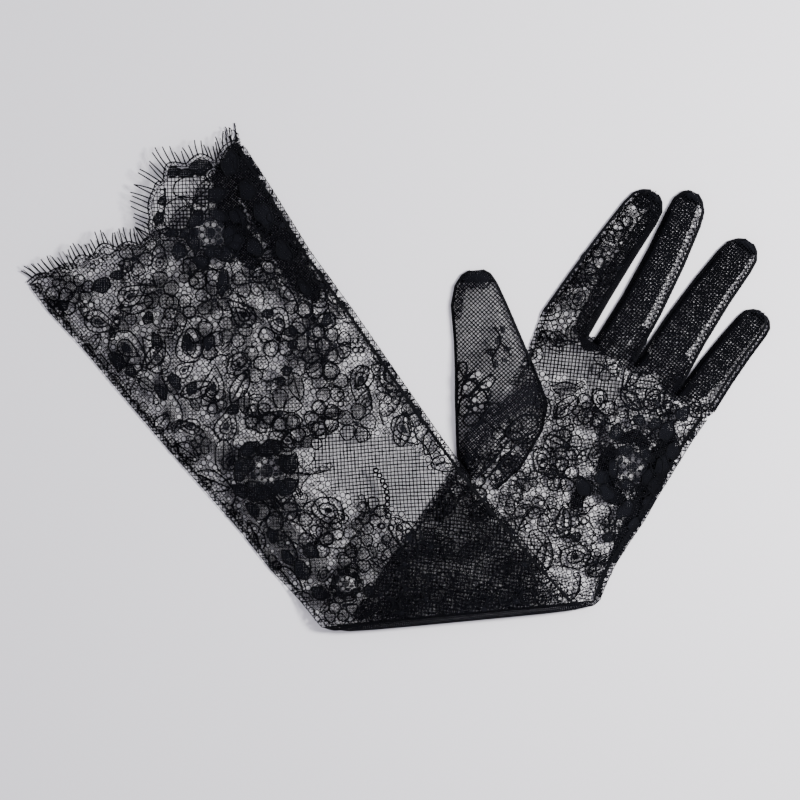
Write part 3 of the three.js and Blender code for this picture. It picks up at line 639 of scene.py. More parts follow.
class Panel:
    """A stretch of flattened tube, charted by lines that run across it from seam to seam."""

    def __init__(self, rows, lips, rims, fullness, stations):
        table = np.array(rows, float)
        self.left = table[:, 0:2]
        self.right = table[:, 2:4]
        self.height = table[:, 4]
        self.lips = np.broadcast_to(np.array(lips, float), (len(table), 2))
        self.rims = np.broadcast_to(np.array(rims, float), (len(table),))
        self.stations = stations
        self.swells = (1 - np.abs(2 * stations - 1) ** fullness) ** SWELL_POWER
        self.numbers = np.arange(len(table))

    def locate(self, points):
        """The row and the share across it at points, counted on between rows, and NaN off the panel."""
        row = np.full(len(points), np.nan)
        share = np.full(len(points), np.nan)
        for k in self.numbers[:-1]:
            corners = np.concatenate([self.left[k:k + 2], self.right[k:k + 2]])
            is_near = np.all((points >= corners.min(axis=0)) & (points <= corners.max(axis=0)), axis=1)
            near = np.flatnonzero(is_near & np.isnan(row))
            if not len(near):
                continue
            a = self.left[k] - points[near]
            b = self.right[k] - points[near]
            step_a = self.left[k + 1] - self.left[k]
            step_b = self.right[k + 1] - self.right[k]
            square = cross(step_a, step_b)
            linear = cross(a, step_b) + cross(step_a, b)
            plain = cross(a, b)
            if abs(square) < 1e-9:
                roots = [-plain / linear]
            else:
                spread = np.sqrt(np.maximum(linear ** 2 - 4 * square * plain, 0))
                roots = [(-linear + spread) / (2 * square), (-linear - spread) / (2 * square)]
            for s in roots:
                start = self.left[k] + s[:, None] * step_a
                across = self.right[k] + s[:, None] * step_b - start
                length = np.maximum(np.sum(across ** 2, axis=1), 1e-12)
                t = np.sum((points[near] - start) * across, axis=1) / length
                found = np.isnan(row[near]) & (s >= 0) & (s <= 1) & (t >= 0) & (t <= 1)
                row[near[found]] = k + s[found]
                share[near[found]] = t[found]
        return row, share

    def holds(self, points, with_lips=True):
        """Which points are on the panel, its lips outside the seams included or not."""
        row, share = self.locate(points)
        inside = ~np.isnan(row)
        if with_lips:
            return inside
        row = row[inside]
        share = share[inside]
        left, right = self.sides(row)
        width = np.hypot(*(right - left).T)
        left_lip = self.at(self.lips[:, 0], row)
        right_lip = self.at(self.lips[:, 1], row)
        inside[inside] = (share * width >= left_lip) & (share * width <= width - right_lip)
        return inside

    def at(self, column, row):
        """A column of the chart at rows between its own."""
        return np.interp(row, self.numbers, column)

    def sides(self, row):
        """Plan points of the left and the right seam at rows."""
        return [np.stack([self.at(side[:, 0], row), self.at(side[:, 1], row)], axis=1)
                for side in (self.left, self.right)]

    def measure(self, points, is_back):
        """Depth of a cloth's middle through the flattened tube, its swell, the tube's height and the lips."""
        row, share = self.locate(points)
        left, right = self.sides(row)
        width = np.linalg.norm(right - left, axis=1)
        left_lip = self.at(self.lips[:, 0], row)
        right_lip = self.at(self.lips[:, 1], row)
        w = share * width
        on_lip = (w < left_lip) | (w > width - right_lip)
        t = np.clip((w - left_lip) / (width - left_lip - right_lip), 0, 1)
        swell = np.interp(t, self.stations, self.swells)
        rim = self.at(self.rims, row)
        height = self.at(self.height, row)
        target = CLOTH / 2 if is_back else height - CLOTH / 2
        return rim + (target - rim) * swell, swell, height, on_lip

    def edge(self, side, inset, start=0.0, stop=None, step=0.12):
        """Plan points along one seam, at a distance in from it."""
        stop = self.numbers[-1] if stop is None else stop
        row = np.linspace(start, stop, max(2, int((stop - start) / step) + 1))
        left, right = self.sides(row)
        inward = (right - left) / np.linalg.norm(right - left, axis=1)[:, None]
        return left + inward * inset if side == "left" else right - inward * inset


class Region:
    """A closed outline in the plan."""

    def __init__(self, outline):
        self.outline = np.array(outline, float)
        self.low = self.outline.min(axis=0)
        self.high = self.outline.max(axis=0)

    def holds(self, points):
        """Which points are inside."""
        inside = np.zeros(len(points), bool)
        near = np.all((points >= self.low) & (points <= self.high), axis=1)
        x, y = points[near].T
        crossed = np.zeros(len(x), bool)
        for (ax, ay), (bx, by) in zip(self.outline, np.roll(self.outline, -1, axis=0)):
            if ay == by:
                continue
            spans = (ay > y) != (by > y)
            crossed ^= spans & (x < ax + (y - ay) * (bx - ax) / (by - ay))
        inside[near] = crossed
        return inside


class Discs:
    """Many small round spots in the plan."""

    def __init__(self, spots):
        self.spots = spots

    def holds(self, points):
        """Which points are inside any spot."""
        inside = np.zeros(len(points), bool)
        order = np.argsort(points[:, 0])
        x = points[order, 0]
        for spot_x, spot_y, radius in self.spots:
            first, last = np.searchsorted(x, (spot_x - radius, spot_x + radius))
            near = order[first:last]
            away = (points[near, 0] - spot_x) ** 2 + (points[near, 1] - spot_y) ** 2
            inside[near[away < radius ** 2]] = True
        return inside


class Disc:
    """A round spot in the plan."""

    def __init__(self, centre, radius):
        self.centre = np.array(centre, float)
        self.radius = radius
        self.low = self.centre - radius
        self.high = self.centre + radius

    def holds(self, points):
        """Which points are inside."""
        return np.sum((points - self.centre) ** 2, axis=1) < self.radius ** 2


class Cloth:
    """One layer of lace: the panels it covers, how high its middle lies, and where it is cut away."""

    def __init__(self, panels, side, place, with_lips, kept=(), cut=(), area=None):
        self.panels = panels
        self.is_back = side == "back"
        self.place = place
        self.with_lips = with_lips
        self.kept = kept
        self.cut = cut
        corners = area if area is not None else np.concatenate([[*p.left, *p.right] for p in panels])
        self.low = np.min(corners, axis=0)
        self.high = np.max(corners, axis=0)

    def survey(self, points):
        """Height of the cloth's middle at points, and which of them the cloth covers."""
        height = np.full(len(points), np.nan)
        covered = np.zeros(len(points), bool)
        choose = np.fmin if self.is_back else np.fmax
        for panel in self.panels:
            depth, swell, tube, on_lip = panel.measure(points, self.is_back)
            on_panel = ~np.isnan(depth)
            height = choose(height, self.place(points, depth, swell, tube, self.is_back))
            covered |= on_panel if self.with_lips else on_panel & ~on_lip
        for shape in self.kept:
            covered &= shape.holds(points)
        for shape in self.cut:
            covered &= ~shape.holds(points)
        return height, covered

    def covers(self, points):
        """Which points the cloth covers."""
        covered = np.zeros(len(points), bool)
        for panel in self.panels:
            covered |= panel.holds(points, self.with_lips)
        for shape in self.kept:
            covered[covered] = shape.holds(points[covered])
        for shape in self.cut:
            covered[covered] = ~shape.holds(points[covered])
        return covered

    def draped(self, points, above=0.0):
        """Plan points with the heights of the cloth under them."""
        return np.column_stack([points, self.survey(points)[0] + above])


def finger_at(finger, share):
    """Both sides of a finger in the plan, and how far its end is rounded in, at a share of its length."""
    base_x, base_y, tip_x, tip_y, wide, narrow, bow, left_lip, right_lip = finger
    base = np.array([base_x, base_y])
    tip = np.array([tip_x, tip_y])
    along = unit(tip - base)
    across = np.array([along[1], -along[0]])
    sideways = bow * 4 * share * (1 - share) if share > 0 else 0
    middle = base + (tip - base) * share + across * sideways
    rounding = max(0, (share - 1 + TIP_ROUND) / TIP_ROUND)
    taper = math.sqrt(max(TIP_LEAST_WIDTH ** 2, 1 - rounding ** 2))
    half = (wide + (narrow - wide) * share) / 2 * taper
    to_left = half * (ROOT_INSET if share < 0 and left_lip > PLAIN_LIP else 1)
    to_right = half * (ROOT_INSET if share < 0 and right_lip > PLAIN_LIP else 1)
    return middle - across * to_left, middle + across * to_right, taper


def finger_panel(finger):
    """A finger's chart, from inside the palm to the tip."""
    length = math.hypot(finger[2] - finger[0], finger[3] - finger[1])
    rows = []
    lips = []
    for share in (-ROOT_DEPTH / length, *FINGER_STATIONS):
        left, right, taper = finger_at(finger, share)
        thinning = 1 + (FINGER_THINNING - 1) * share
        height = FINGER_HEIGHT * thinning * (TIP_HEIGHT + (1 - TIP_HEIGHT) * taper)
        rows.append((*left, *right, height))
        lips.append((finger[7] * taper, finger[8] * taper))
    return Panel(rows, lips, FINGER_RIM, FINGER_FULLNESS, NARROW_STATIONS)


def ribbon(path, half_width):
    """The outline of a ribbon along a plan path."""
    path = np.array(path, float)
    aside = asides(path) * half_width
    return np.concatenate([path + aside, (path - aside)[::-1]])


def parting(near, far, at):
    """The line midway between two fingers, from their crotch outward."""
    points = [at]
    for share in PARTING_SHARES:
        points.append((finger_at(near, share)[1] + finger_at(far, share)[0]) / 2)
    return points


def fork_leg(finger, is_left):
    """The side of a finger that its forked strip covers."""
    path = []
    for share in FORK_SHARES:
        left, right, _ = finger_at(finger, share)
        inward = unit(right - left) * FORK_INSET
        path.append(left + inward if is_left else right - inward)
    return path


def fork_shapes(near, far, at, grow):
    """The plan shapes of one forked strip, grown all round."""
    half = FORK_WIDTH / 2 + grow
    return [Region(ribbon(fork_leg(near, False), half)), Region(ribbon(fork_leg(far, True), half)),
            Disc(at, FORK_CROTCH + grow)]


def mouth_point(along, out):
    """A plan point from its distance along the mouth and outward."""
    return MOUTH_START + MOUTH_ALONG * along + MOUTH_OUT * out


def hem_line(hem, inset=0.0, step=HEM_STEP):
    """Points round a hem, or inside it: along and out, outward normal, lash angle and length."""
    points = []
    for cusp, after in zip(hem, hem[1:]):
        start = np.array(cusp[:2], float)
        end = np.array(after[:2], float)
        chord = np.linalg.norm(end - start)
        onward = (end - start) / chord
        outward = aside_of(onward)
        count = max(3, round(chord / step))
        for k in range(count + (after is hem[-1])):
            t = k / count
            point = start + (end - start) * t + outward * cusp[2] * math.sin(math.pi * t)
            slope = math.pi * cusp[2] * math.cos(math.pi * t) / chord
            normal = unit(outward - onward * slope)
            lash = cusp[3] + (after[3] - cusp[3]) * t
            length = cusp[4] + (after[4] - cusp[4]) * t
            points.append((*(point - normal * inset), *normal, lash, length))
    return np.array(points)


def hem_region(hem, inset):
    """Everything on the arm's side of a hem, or of a line inside it."""
    line = hem_line(hem, inset)
    outline = [mouth_point(-60, line[0, 1])]
    outline += [mouth_point(along, out) for along, out in line[:, :2]]
    outline += [mouth_point(MOUTH_LENGTH + 60, line[-1, 1]), mouth_point(MOUTH_LENGTH + 60, -400),
                mouth_point(-60, -400)]
    return Region(outline)


def ellipse(x, y, half_length, half_width, degrees, steps=24):
    """The outline of an ellipse in the plan."""
    angle = angles(steps)
    local = np.stack([np.cos(angle) * half_length, np.sin(angle) * half_width], axis=1)
    return turned(local, degrees) + [x, y]


# Charts of the glove's stretches
HAND = Panel(HAND_ROWS, (LIP_WIDTH, LIP_WIDTH), LIP_MIDDLE, ARM_FULLNESS, ARM_STATIONS)
ARM = Panel(ARM_ROWS, (LIP_WIDTH, LIP_WIDTH), [row[4] - LIP_MIDDLE for row in ARM_ROWS], ARM_FULLNESS,
            ARM_STATIONS)
THUMB = Panel(THUMB_ROWS, (PLAIN_LIP, PLAIN_LIP), FINGER_RIM, FINGER_FULLNESS, NARROW_STATIONS)
FINGER_PANELS = {name: finger_panel(finger) for name, finger in FINGERS.items()}
CROTCH_AT = {name: (FINGERS[near], FINGERS[far], np.array([x, y])) for name, near, far, x, y in CROTCHES}
PARTINGS = [Region(ribbon(parting(near, far, at), PARTING_HALF)) for near, far, at in CROTCH_AT.values()]
FORKS = {name: fork_shapes(near, far, at, 0) for name, (near, far, at) in CROTCH_AT.items()}
FORK_CUTS = [shape for near, far, at in CROTCH_AT.values() for shape in fork_shapes(near, far, at, 0.15)]
THUMB_HOLE = Region(ellipse(*THUMB_HOLE_AT, THUMB_HOLE_LONG, THUMB_HOLE_SHORT,
                            math.degrees(THUMB_HOLE_TURN)))


class Outside:
    """Everything off a shape."""

    def __init__(self, shape):
        self.shape = shape

    def holds(self, points):
        """Which points are off the shape."""
        return ~self.shape.holds(points)


class Either:
    """What any of several shapes holds."""

    def __init__(self, shapes):
        self.shapes = shapes

    def holds(self, points):
        """Which points are inside any of the shapes."""
        return np.any([shape.holds(points) for shape in self.shapes], axis=0)


HAND_PANELS = [HAND, *FINGER_PANELS.values()]
PALM_CLOTH = Cloth(HAND_PANELS, "palm", place_hand, True, cut=[*PARTINGS, *FORK_CUTS, THUMB_HOLE])
BACK_CLOTH = Cloth(HAND_PANELS, "back", place_hand, False, cut=[*PARTINGS, *FORK_CUTS])
ARM_UPPER = Cloth([ARM], "back", place_arm, True, kept=[hem_region(UPPER_HEM, HEM_BAND)])
ARM_UNDER = Cloth([ARM], "palm", place_arm, False, kept=[hem_region(UNDER_HEM, HEM_BAND)])
THUMB_UPPER = Cloth([THUMB], "palm", place_thumb, True, kept=[Outside(ARM)])
THUMB_UNDER = Cloth([THUMB], "back", place_thumb, False, kept=[Outside(ARM), Outside(HAND)])


class Field:
    """The flowered part of a cloth: between its seams and off its clear places."""

    def __init__(self, cloth, clear):
        side = "back" if cloth.is_back else "palm"
        self.cloth = Cloth(cloth.panels, side, cloth.place, False, cloth.kept, cloth.cut)
        self.clear = Either([Region(ellipse(*place)) for place in clear])

    def holds(self, points):
        """Which points are in the flowered part."""
        return self.cloth.covers(points) & ~self.clear.holds(points)


class Pattern:
    """What one cloth shows besides its ground: closed work, close net, outlines and ringed holes."""

    def __init__(self, clear=(), bare=(), closeness=1.0):
        self.clear = clear
        self.bare = list(bare)
        self.closeness = closeness
        self.patches = []
        self.close = []
        self.outlines = []
        self.rings = []
        self.windows = []
        self.taken = []
        self.weight = 1.0

    def outline(self, points, is_closed=True):
        """Lays an outline thread of the weight in use."""
        self.outlines.append((np.asarray(points, float), is_closed, self.weight))

    def claim(self, x, y, reach):
        """Keeps later sprays off a place."""
        self.taken.append((x, y, reach))

    def is_free(self, x, y, reach):
        """Whether a spray of a size fits beside those already placed."""
        return all(math.hypot(x - tx, y - ty) > SPRAY_ROOM * (reach + taken) for tx, ty, taken in self.taken)

    def leave_open(self, above, hearts):
        """Leaves the ringed holes and the hearts of the roses of the cloth above open in this one too."""
        self.windows += [(x, y, hole * WINDOW_GROWTH) for x, y, hole in above.rings]
        self.windows += [(x, y, ring + hole + 1.2) for x, y, _, _, ring, hole, _, _ in hearts]
        self.taken += [(x, y, ring + 3) for x, y, _, _, ring, _, _, _ in hearts]


def petal(x, y, near, far, width, degrees, steps=14):
    """A petal's outline, broad towards its far end."""
    angle = angles(steps)
    along = (near + far) / 2 + np.cos(angle) * (far - near) / 2
    across = np.sin(angle) * width / 2 * (1 + 0.3 * np.cos(angle))
    return turned(np.stack([along, across], axis=1), degrees) + [x, y]


def leaf_outline(x, y, length, width, degrees, steps=14):
    """A pointed leaf's outline."""
    angle = angles(steps)
    across = np.sin(angle) * np.abs(np.sin(angle)) ** 0.4 * width / 2
    return turned(np.stack([np.cos(angle) * length / 2, across], axis=1), degrees) + [x, y]


def ruffled(outline, depth):
    """An outline with a wavy edge."""
    middle = outline.mean(axis=0)
    angle = angles(len(outline))
    phase = middle.sum()
    wave = 1 + depth * (0.6 * np.sin(5 * angle + phase) + 0.5 * np.sin(3 * angle + 2.1 * phase))
    return middle + (outline - middle) * wave[:, None]


def bent(start, end, bulge, count):
    """Points on a bow between two plan points."""
    start = np.array(start, float)
    end = np.array(end, float)
    onward = unit(end - start)
    aside = aside_of(onward)
    t = np.linspace(0, 1, count)[:, None]
    return start + (end - start) * t + aside * bulge * np.sin(math.pi * t)


def add_closed(pattern, outline):
    """A closed petal with its outline thread."""
    pattern.patches.append(outline)
    pattern.outline(outline)


def add_pearls(pattern, points, hole):
    """Ringed holes at points."""
    for x, y in points:
        pattern.rings.append((x, y, hole))


def add_rose(pattern, x, y, size, degrees, ring, hole, count, opened):
    """A big flower: closed petals round a ring of holes, and close net petals outside them."""
    add_pearls(pattern, ellipse(x, y, ring, ring, degrees, count)[:opened], hole)
    pattern.patches.append(ellipse(x, y, ring - hole - 0.3, ring - hole - 0.3, 0, 10))
    between = ring * math.sin(math.pi / count) - hole - 0.1
    inner = ring + hole + 0.1
    for k in range(count):
        facing = degrees + 360 * (k + 0.5) / count
        pattern.patches.append(ellipse(*([x, y] + heading(facing) * ring), hole + 0.5, between, facing, 8))
        if k >= opened:
            spot = [x, y] + heading(facing - 180 / count) * ring
            pattern.patches.append(ellipse(*spot, hole + 0.3, hole, 0, 8))
        pattern.patches.append(ellipse(*([x, y] + heading(facing) * (inner + 0.9)), 1.1, 2.2, facing, 8))
    for k in range(5):
        angle = degrees + 72 * k
        near = petal(x, y, inner + 1.2, inner + size * 0.5, (inner + size * 0.3) * 1.02, angle, 16)
        add_closed(pattern, ruffled(near, 0.1))
        outer = ruffled(petal(x, y, inner + size * 0.3, size * 1.3, size * 0.9, angle + 36, 16), 0.08)
        pattern.close.append(outer)
        pattern.outline(outer)
    pattern.claim(x, y, size * 1.1)


def add_blossom(pattern, x, y, size, degrees, petals):
    """An outlined flower of close net round a dark eye."""
    pattern.patches.append(ellipse(x, y, size * 0.15, size * 0.15, 0, 8))
    for k in range(petals):
        angle = degrees + 360 * k / petals
        outline = ruffled(petal(x, y, size * 0.2, size, size * 3.5 / petals, angle), 0.07)
        if k % 2:
            pattern.close.append(outline)
        pattern.outline(outline)
    pattern.claim(x, y, size)


def add_leaf(pattern, x, y, size, degrees):
    """A leaf of close net with a vein and a few pearls at its stem."""
    outline = ruffled(leaf_outline(x, y, size * 2, size, degrees, 16), 0.08)
    pattern.outline(outline)
    pattern.close.append(outline)
    tip = heading(degrees) * size
    pattern.outline(np.array([[x, y] - tip, [x, y], [x, y] + tip * 0.8]), False)
    pearls = bent([x, y] - tip, [x, y] + tip * 0.4, size * 0.95, 4)[:3]
    add_pearls(pattern, pearls, 1.0)
    pattern.claim(x, y, size * 0.85)


def add_bubble(pattern, x, y, size, degrees):
    """A rounded outline with a dark heart, and a row of pearls along one side."""
    outline = ruffled(ellipse(x, y, size * 0.85, size * 0.65, degrees, 16), 0.1)
    pattern.outline(outline)
    inner = ellipse(x, y, size * 0.5, size * 0.34, degrees, 10)
    pattern.outline(inner)
    pattern.patches.append(ellipse(x, y, size * 0.2, size * 0.15, degrees, 8))
    beside = ellipse(x, y, size * 0.85 + 1.2, size * 0.65 + 1.2, degrees, 14)
    add_pearls(pattern, beside[1:6], 0.88)
    pattern.claim(x, y, size * 0.95)


def add_berries(pattern, x, y, size, degrees):
    """A cluster of ringed holes on a short stem."""
    count = max(3, int(size))
    spots = ellipse(x, y, 1.6 + size * 0.12, 1.6 + size * 0.12, degrees, min(count, 6))
    add_pearls(pattern, spots, 1.1)
    tip = heading(degrees) * size
    pattern.outline(bent([x, y] - tip, [x, y] - tip * 0.4, size * 0.2, 5), False)
    pattern.claim(x, y, max(2.4, size * 0.65))


def add_sprig(pattern, x, y, size, degrees):
    """A bent stem with round berries at both sides."""
    tip = heading(degrees) * size
    stem = bent([x, y] - tip, [x, y] + tip, size * 0.3, 9)
    pattern.outline(stem, False)
    for k, (stem_x, stem_y) in enumerate(stem[1::2]):
        out = heading(degrees + (90 if k % 2 else -90)) * 1.5
        pattern.rings.append((stem_x + out[0], stem_y + out[1], 0.9))
    pattern.claim(x, y, size * 0.8)


def add_paisley(pattern, x, y, size, degrees):
    """Two nested drops with pearls between them and a dark drop at the heart."""
    angle = angles(18)
    along = np.cos(angle) + 0.2
    across = 0.85 * np.sin(angle) * np.sin(angle / 2) ** 1.2 + 0.25 * np.maximum(along, 0) ** 2
    drop = turned(np.stack([along, across], axis=1) * size, degrees)
    pattern.outline(drop + [x, y])
    pattern.outline(drop * 0.5 + [x, y])
    add_pearls(pattern, (drop * 0.74 + [x, y])[3:16:math.ceil(14 / size)], 1.0)
    pattern.patches.append((drop * 0.3 + [x, y])[::2])
    pattern.claim(x, y, size * 0.9)


def add_hole_row(pattern, start, end, bulge, count, hole):
    """A bowed row of ringed holes with a thread along it."""
    row = bent(start, end, bulge, count)
    add_pearls(pattern, row, hole)
    onward = unit(row[-1] - row[0])
    pattern.outline(row + aside_of(onward) * (hole + 0.8), False)
    pattern.claim(*row[count // 2], np.linalg.norm(row[0] - row[-1]) / 2)


def add_spray(pattern, kind, x, y, size, degrees):
    """One scattered spray of the kind named."""
    if kind == "blossom":
        add_blossom(pattern, x, y, size, degrees, 5)
    elif kind == "leaf":
        add_leaf(pattern, x, y, size * 0.9, degrees)
    elif kind == "bubble":
        add_bubble(pattern, x, y, size * 0.9, degrees)
    elif kind == "berries":
        add_berries(pattern, x, y, size, degrees)
    elif kind == "sprig":
        add_sprig(pattern, x, y, size * 0.95, degrees)
    elif kind == "paisley":
        add_paisley(pattern, x, y, size * 0.9, degrees)
    else:
        tip = heading(degrees) * size * 0.8
        add_hole_row(pattern, [x, y] - tip, [x, y] + tip, 1.4, max(3, int(size * 0.66)), 1.05)


def scatter(pattern, cloth, name, clear):
    """Fills a cloth with sprays, big ones first, and leaves its clear places to the ground."""
    seed, sizes, spread = SPRAYS[name]
    dice = np.random.default_rng(seed)
    shapes = [Region(ellipse(*patch)) for patch in clear]
    for size in sizes:
        pattern.weight = 0.75 + 0.05 * size
        step = size * spread
        columns = np.arange(cloth.low[0], cloth.high[0], step)
        lines = np.arange(cloth.low[1], cloth.high[1], step)
        spots = np.stack(np.meshgrid(columns, lines), axis=-1).reshape(-1, 2)
        spots = spots + dice.uniform(-0.35, 0.35, spots.shape) * step
        kept = cloth.covers(spots)
        for shape in shapes:
            kept &= ~shape.holds(spots)
        for (x, y), is_kept in zip(spots, kept):
            kind = SPRAY_KINDS[int(np.searchsorted(np.cumsum(SPRAY_SHARES), dice.uniform()))]
            degrees = dice.uniform(0, 360)
            reach = size * dice.uniform(0.85, 1.15)
            if size < SMALL_SPRAY and kind in ("blossom", "bubble", "paisley"):
                kind = "berries"
            if is_kept and pattern.is_free(x, y, reach):
                add_spray(pattern, kind, x, y, reach, degrees)


class Threads:
    """Thread paths gathered for one piece: points in millimetres, edges between them, and thickness."""

    def __init__(self):
        self.points = []
        self.edges = []
        self.thickness = []
        self.count = 0

    def add(self, points, edges, thickness=1.0):
        """Adds paths given as points and edges."""
        if not len(edges):
            return
        self.points.append(np.asarray(points, float))
        self.edges.append(np.asarray(edges, int) + self.count)
        self.thickness.append(np.broadcast_to(np.asarray(thickness, float), (len(points),)))
        self.count += len(points)

    def add_line(self, points, thickness=1.0, is_closed=False, kept=None):
        """Adds one path through points, without the stretches whose ends are not kept."""
        order = np.arange(len(points))
        edges = np.stack([order[:-1], order[1:]], axis=1)
        if is_closed:
            edges = np.concatenate([edges, [[order[-1], 0]]])
        if kept is not None:
            edges = edges[kept[edges[:, 0]] & kept[edges[:, 1]]]
        self.add(points, edges, thickness)


class Ground:
    """Where a cloth's net runs: on the cloth, off its closed work and ringed holes, within what is asked."""

    def __init__(self, cloth, pattern, within=None):
        self.cloth = cloth
        self.closed = [Region(outline) for outline in pattern.patches + pattern.bare]
        self.closed.append(Discs(pattern.rings + pattern.windows))
        self.within = within

    def holds(self, points):
        """Which points the net may reach."""
        held = self.cloth.covers(points)
        if self.within is not None:
            held[held] = self.within.holds(points[held])
        for shape in self.closed:
            held[held] = ~shape.holds(points[held])
        return held


def wavy(points):
    """The slow waves that a laid net takes."""
    x, y = points.T
    return points + np.stack([0.55 * np.sin(y / 17 + 0.6) + 0.25 * np.sin(x / 9 + y / 23),
                              0.5 * np.sin(x / 19 + 1.1) + 0.25 * np.sin(y / 11 - x / 21)], axis=1)


def last_held(start, span, holds, rounds=6):
    """How much of each span, counted from its start, is held."""
    low = np.zeros(len(start))
    high = np.ones(len(start))
    for _ in range(rounds):
        share = (low + high) / 2
        found = holds(start + span * share[:, None])
        low = np.where(found, share, low)
        high = np.where(found, high, share)
    return low


def clipped(nodes, holds, keep):
    """Paths down a grid's first axis where holds is true, with a point at every so many nodes."""
    steps = len(nodes)
    flat = nodes.transpose(1, 0, 2).reshape(-1, 2)
    inside = np.pad(holds(flat).reshape(-1, steps), ((0, 0), (1, 1)))
    first = inside[:, 1:-1] & ~inside[:, :-2]
    last = inside[:, 1:-1] & ~inside[:, 2:]
    inside = inside[:, 1:-1] & ~(first & last)
    first = (first & inside).ravel()
    last = (last & inside).ravel()
    run = np.cumsum(first)
    is_kept = (inside & (np.arange(steps) % keep == 0)).ravel() | first | last
    kept = np.flatnonzero(is_kept)
    together = run[kept[1:]] == run[kept[:-1]]
    edges = np.stack([kept[:-1][together], kept[1:][together]], axis=1)
    ends = np.flatnonzero(first | last)
    span = flat[np.clip(ends + np.where(last[ends], 1, -1), 0, len(flat) - 1)] - flat[ends]
    flat[ends] += span * last_held(flat[ends], span, holds)[:, None]
    used, edges = np.unique(edges, return_inverse=True)
    return flat[used], edges.reshape(-1, 2)


def lay_net(threads, cloth, holds, pitch, degrees, seed, shift=0.0, thickness=1.0, stride=1):
    """Lays a square net on a cloth in two sets of paths, with a point at every stride of cells."""
    dice = np.random.default_rng(seed)
    middle = (cloth.low + cloth.high) / 2
    count = int(np.linalg.norm(cloth.high - cloth.low) / 2 / pitch) + 2
    axes = np.stack([heading(degrees), heading(degrees + 90)], axis=1)
    near = np.round((middle - NET_ORIGIN) @ axes / pitch)
    middle = NET_ORIGIN + turned(near * pitch, degrees)
    across = (np.arange(-count, count + 1) + shift) * pitch
    along = (np.arange(-2 * count, 2 * count + 1) / 2 + shift) * pitch
    for order in (1, -1):
        grid = np.stack(np.meshgrid(along, across, indexing="ij")[::order], axis=-1)
        grid = grid + dice.uniform(-NET_JITTER, NET_JITTER, grid.shape) * pitch
        nodes = wavy(turned(grid.reshape(-1, 2), degrees) + middle).reshape(grid.shape)
        points, edges = clipped(nodes, holds, 2 * stride)
        threads.add(cloth.draped(points), edges, thickness)


def fold_points(turn, w, is_back):
    """Points of the bend's cloth, from how far round it and how far from its left seam."""
    before = np.array(FOLD_BEFORE)
    after = np.array(FOLD_AFTER)
    ends = before + (after - before) * turn[..., None]
    left = ends[..., :2]
    right = ends[..., 2:]
    width = np.linalg.norm(right - left, axis=-1)
    t = np.clip((w - LIP_WIDTH) / (width - 2 * LIP_WIDTH), 0, 1)
    swell = np.interp(t, ARM_STATIONS, HAND.swells)
    rim = LIP_MIDDLE + (FOLD_HEIGHT - 2 * LIP_MIDDLE) * turn
    target = CLOTH / 2 if is_back else FOLD_HEIGHT - CLOTH / 2
    radius = FOLD_RADIUS - rim - (target - rim) * swell
    plan = left + (right - left) * (w / width)[..., None]
    plan = plan + FOLD_AWAY * (radius * np.sin(math.pi * turn))[..., None]
    return np.concatenate([plan, (FOLD_RADIUS - radius * np.cos(math.pi * turn))[..., None]], axis=-1)


def lay_fold_net(threads, is_back, pitch):
    """Carries the net round the bend."""
    width = np.linalg.norm(np.array(FOLD_BEFORE[:2]) - FOLD_BEFORE[2:])
    inset = 0 if is_back else LIP_WIDTH
    w = np.arange(inset, width - inset, pitch)
    radius = FOLD_RADIUS - CLOTH / 2 if is_back else FOLD_RADIUS - FOLD_HEIGHT + CLOTH / 2
    turn = np.linspace(0, 1, max(4, round(math.pi * radius / pitch) + 1))
    grid = fold_points(*np.meshgrid(turn, w, indexing="ij"), is_back)
    for across in grid[1:-1]:
        threads.add_line(across)
    for along in grid.transpose(1, 0, 2):
        threads.add_line(along)


def trimmed(outlines, cloth):
    """Outlines pulled in towards their middles where they run off the cloth, without those wholly off it."""
    kept = []
    if not outlines:
        return kept
    middles = np.array([outline.mean(axis=0) for outline in outlines])
    for outline, middle, is_on in zip(outlines, middles, cloth.covers(middles)):
        if is_on:
            kept.append((outline, middle))
    points = np.concatenate([outline for outline, _ in kept])
    centres = np.concatenate([np.broadcast_to(middle, outline.shape) for outline, middle in kept])
    off = ~cloth.covers(points)
    span = (points - centres)[off]
    points[off] = centres[off] + span * last_held(centres[off], span, cloth.covers)[:, None]
    breaks = np.cumsum([len(outline) for outline, _ in kept])[:-1]
    return np.split(points, breaks)


def mesh_of(name, points, faces):
    """A mesh from plan points with heights and its faces."""
    mesh = bpy.data.meshes.new(name)
    mesh.from_pydata(in_metres(points).tolist(), [], faces)
    mesh.update()
    return mesh


def slab_mesh(name, outlines, cloth, thickness):
    """Thin closed slabs over outlines, draped on a cloth, each with a ring and a middle point."""
    plan = []
    faces = []
    above = []
    start = 0
    for outline in trimmed(outlines, cloth):
        if cross(outline, np.roll(outline, -1, axis=0)).sum() < 0:
            outline = outline[::-1]
        n = len(outline)
        middle = outline.mean(axis=0)
        inner = middle + (outline - middle) * 0.6
        plan.append(np.concatenate([outline, outline, inner, inner, [middle, middle]]))
        edge = 0.3 * thickness
        full = 0.5 * thickness
        above.append(np.repeat([edge, -edge, full, -full], n))
        above.append(np.array([full, -full]))
        top, low, inner_top, inner_low = (start + n * k for k in range(4))
        centre_top = start + 4 * n
        centre_low = centre_top + 1
        for k in range(n):
            m = (k + 1) % n
            faces += [(low + k, low + m, top + m, top + k),
                      (top + k, top + m, inner_top + m, inner_top + k),
                      (low + m, low + k, inner_low + k, inner_low + m),
                      (inner_top + k, inner_top + m, centre_top),
                      (inner_low + m, inner_low + k, centre_low)]
        start += 4 * n + 2
    plan = np.concatenate(plan)
    points = cloth.draped(plan)
    points[:, 2] += np.concatenate(above)
    return mesh_of(name, points, faces)


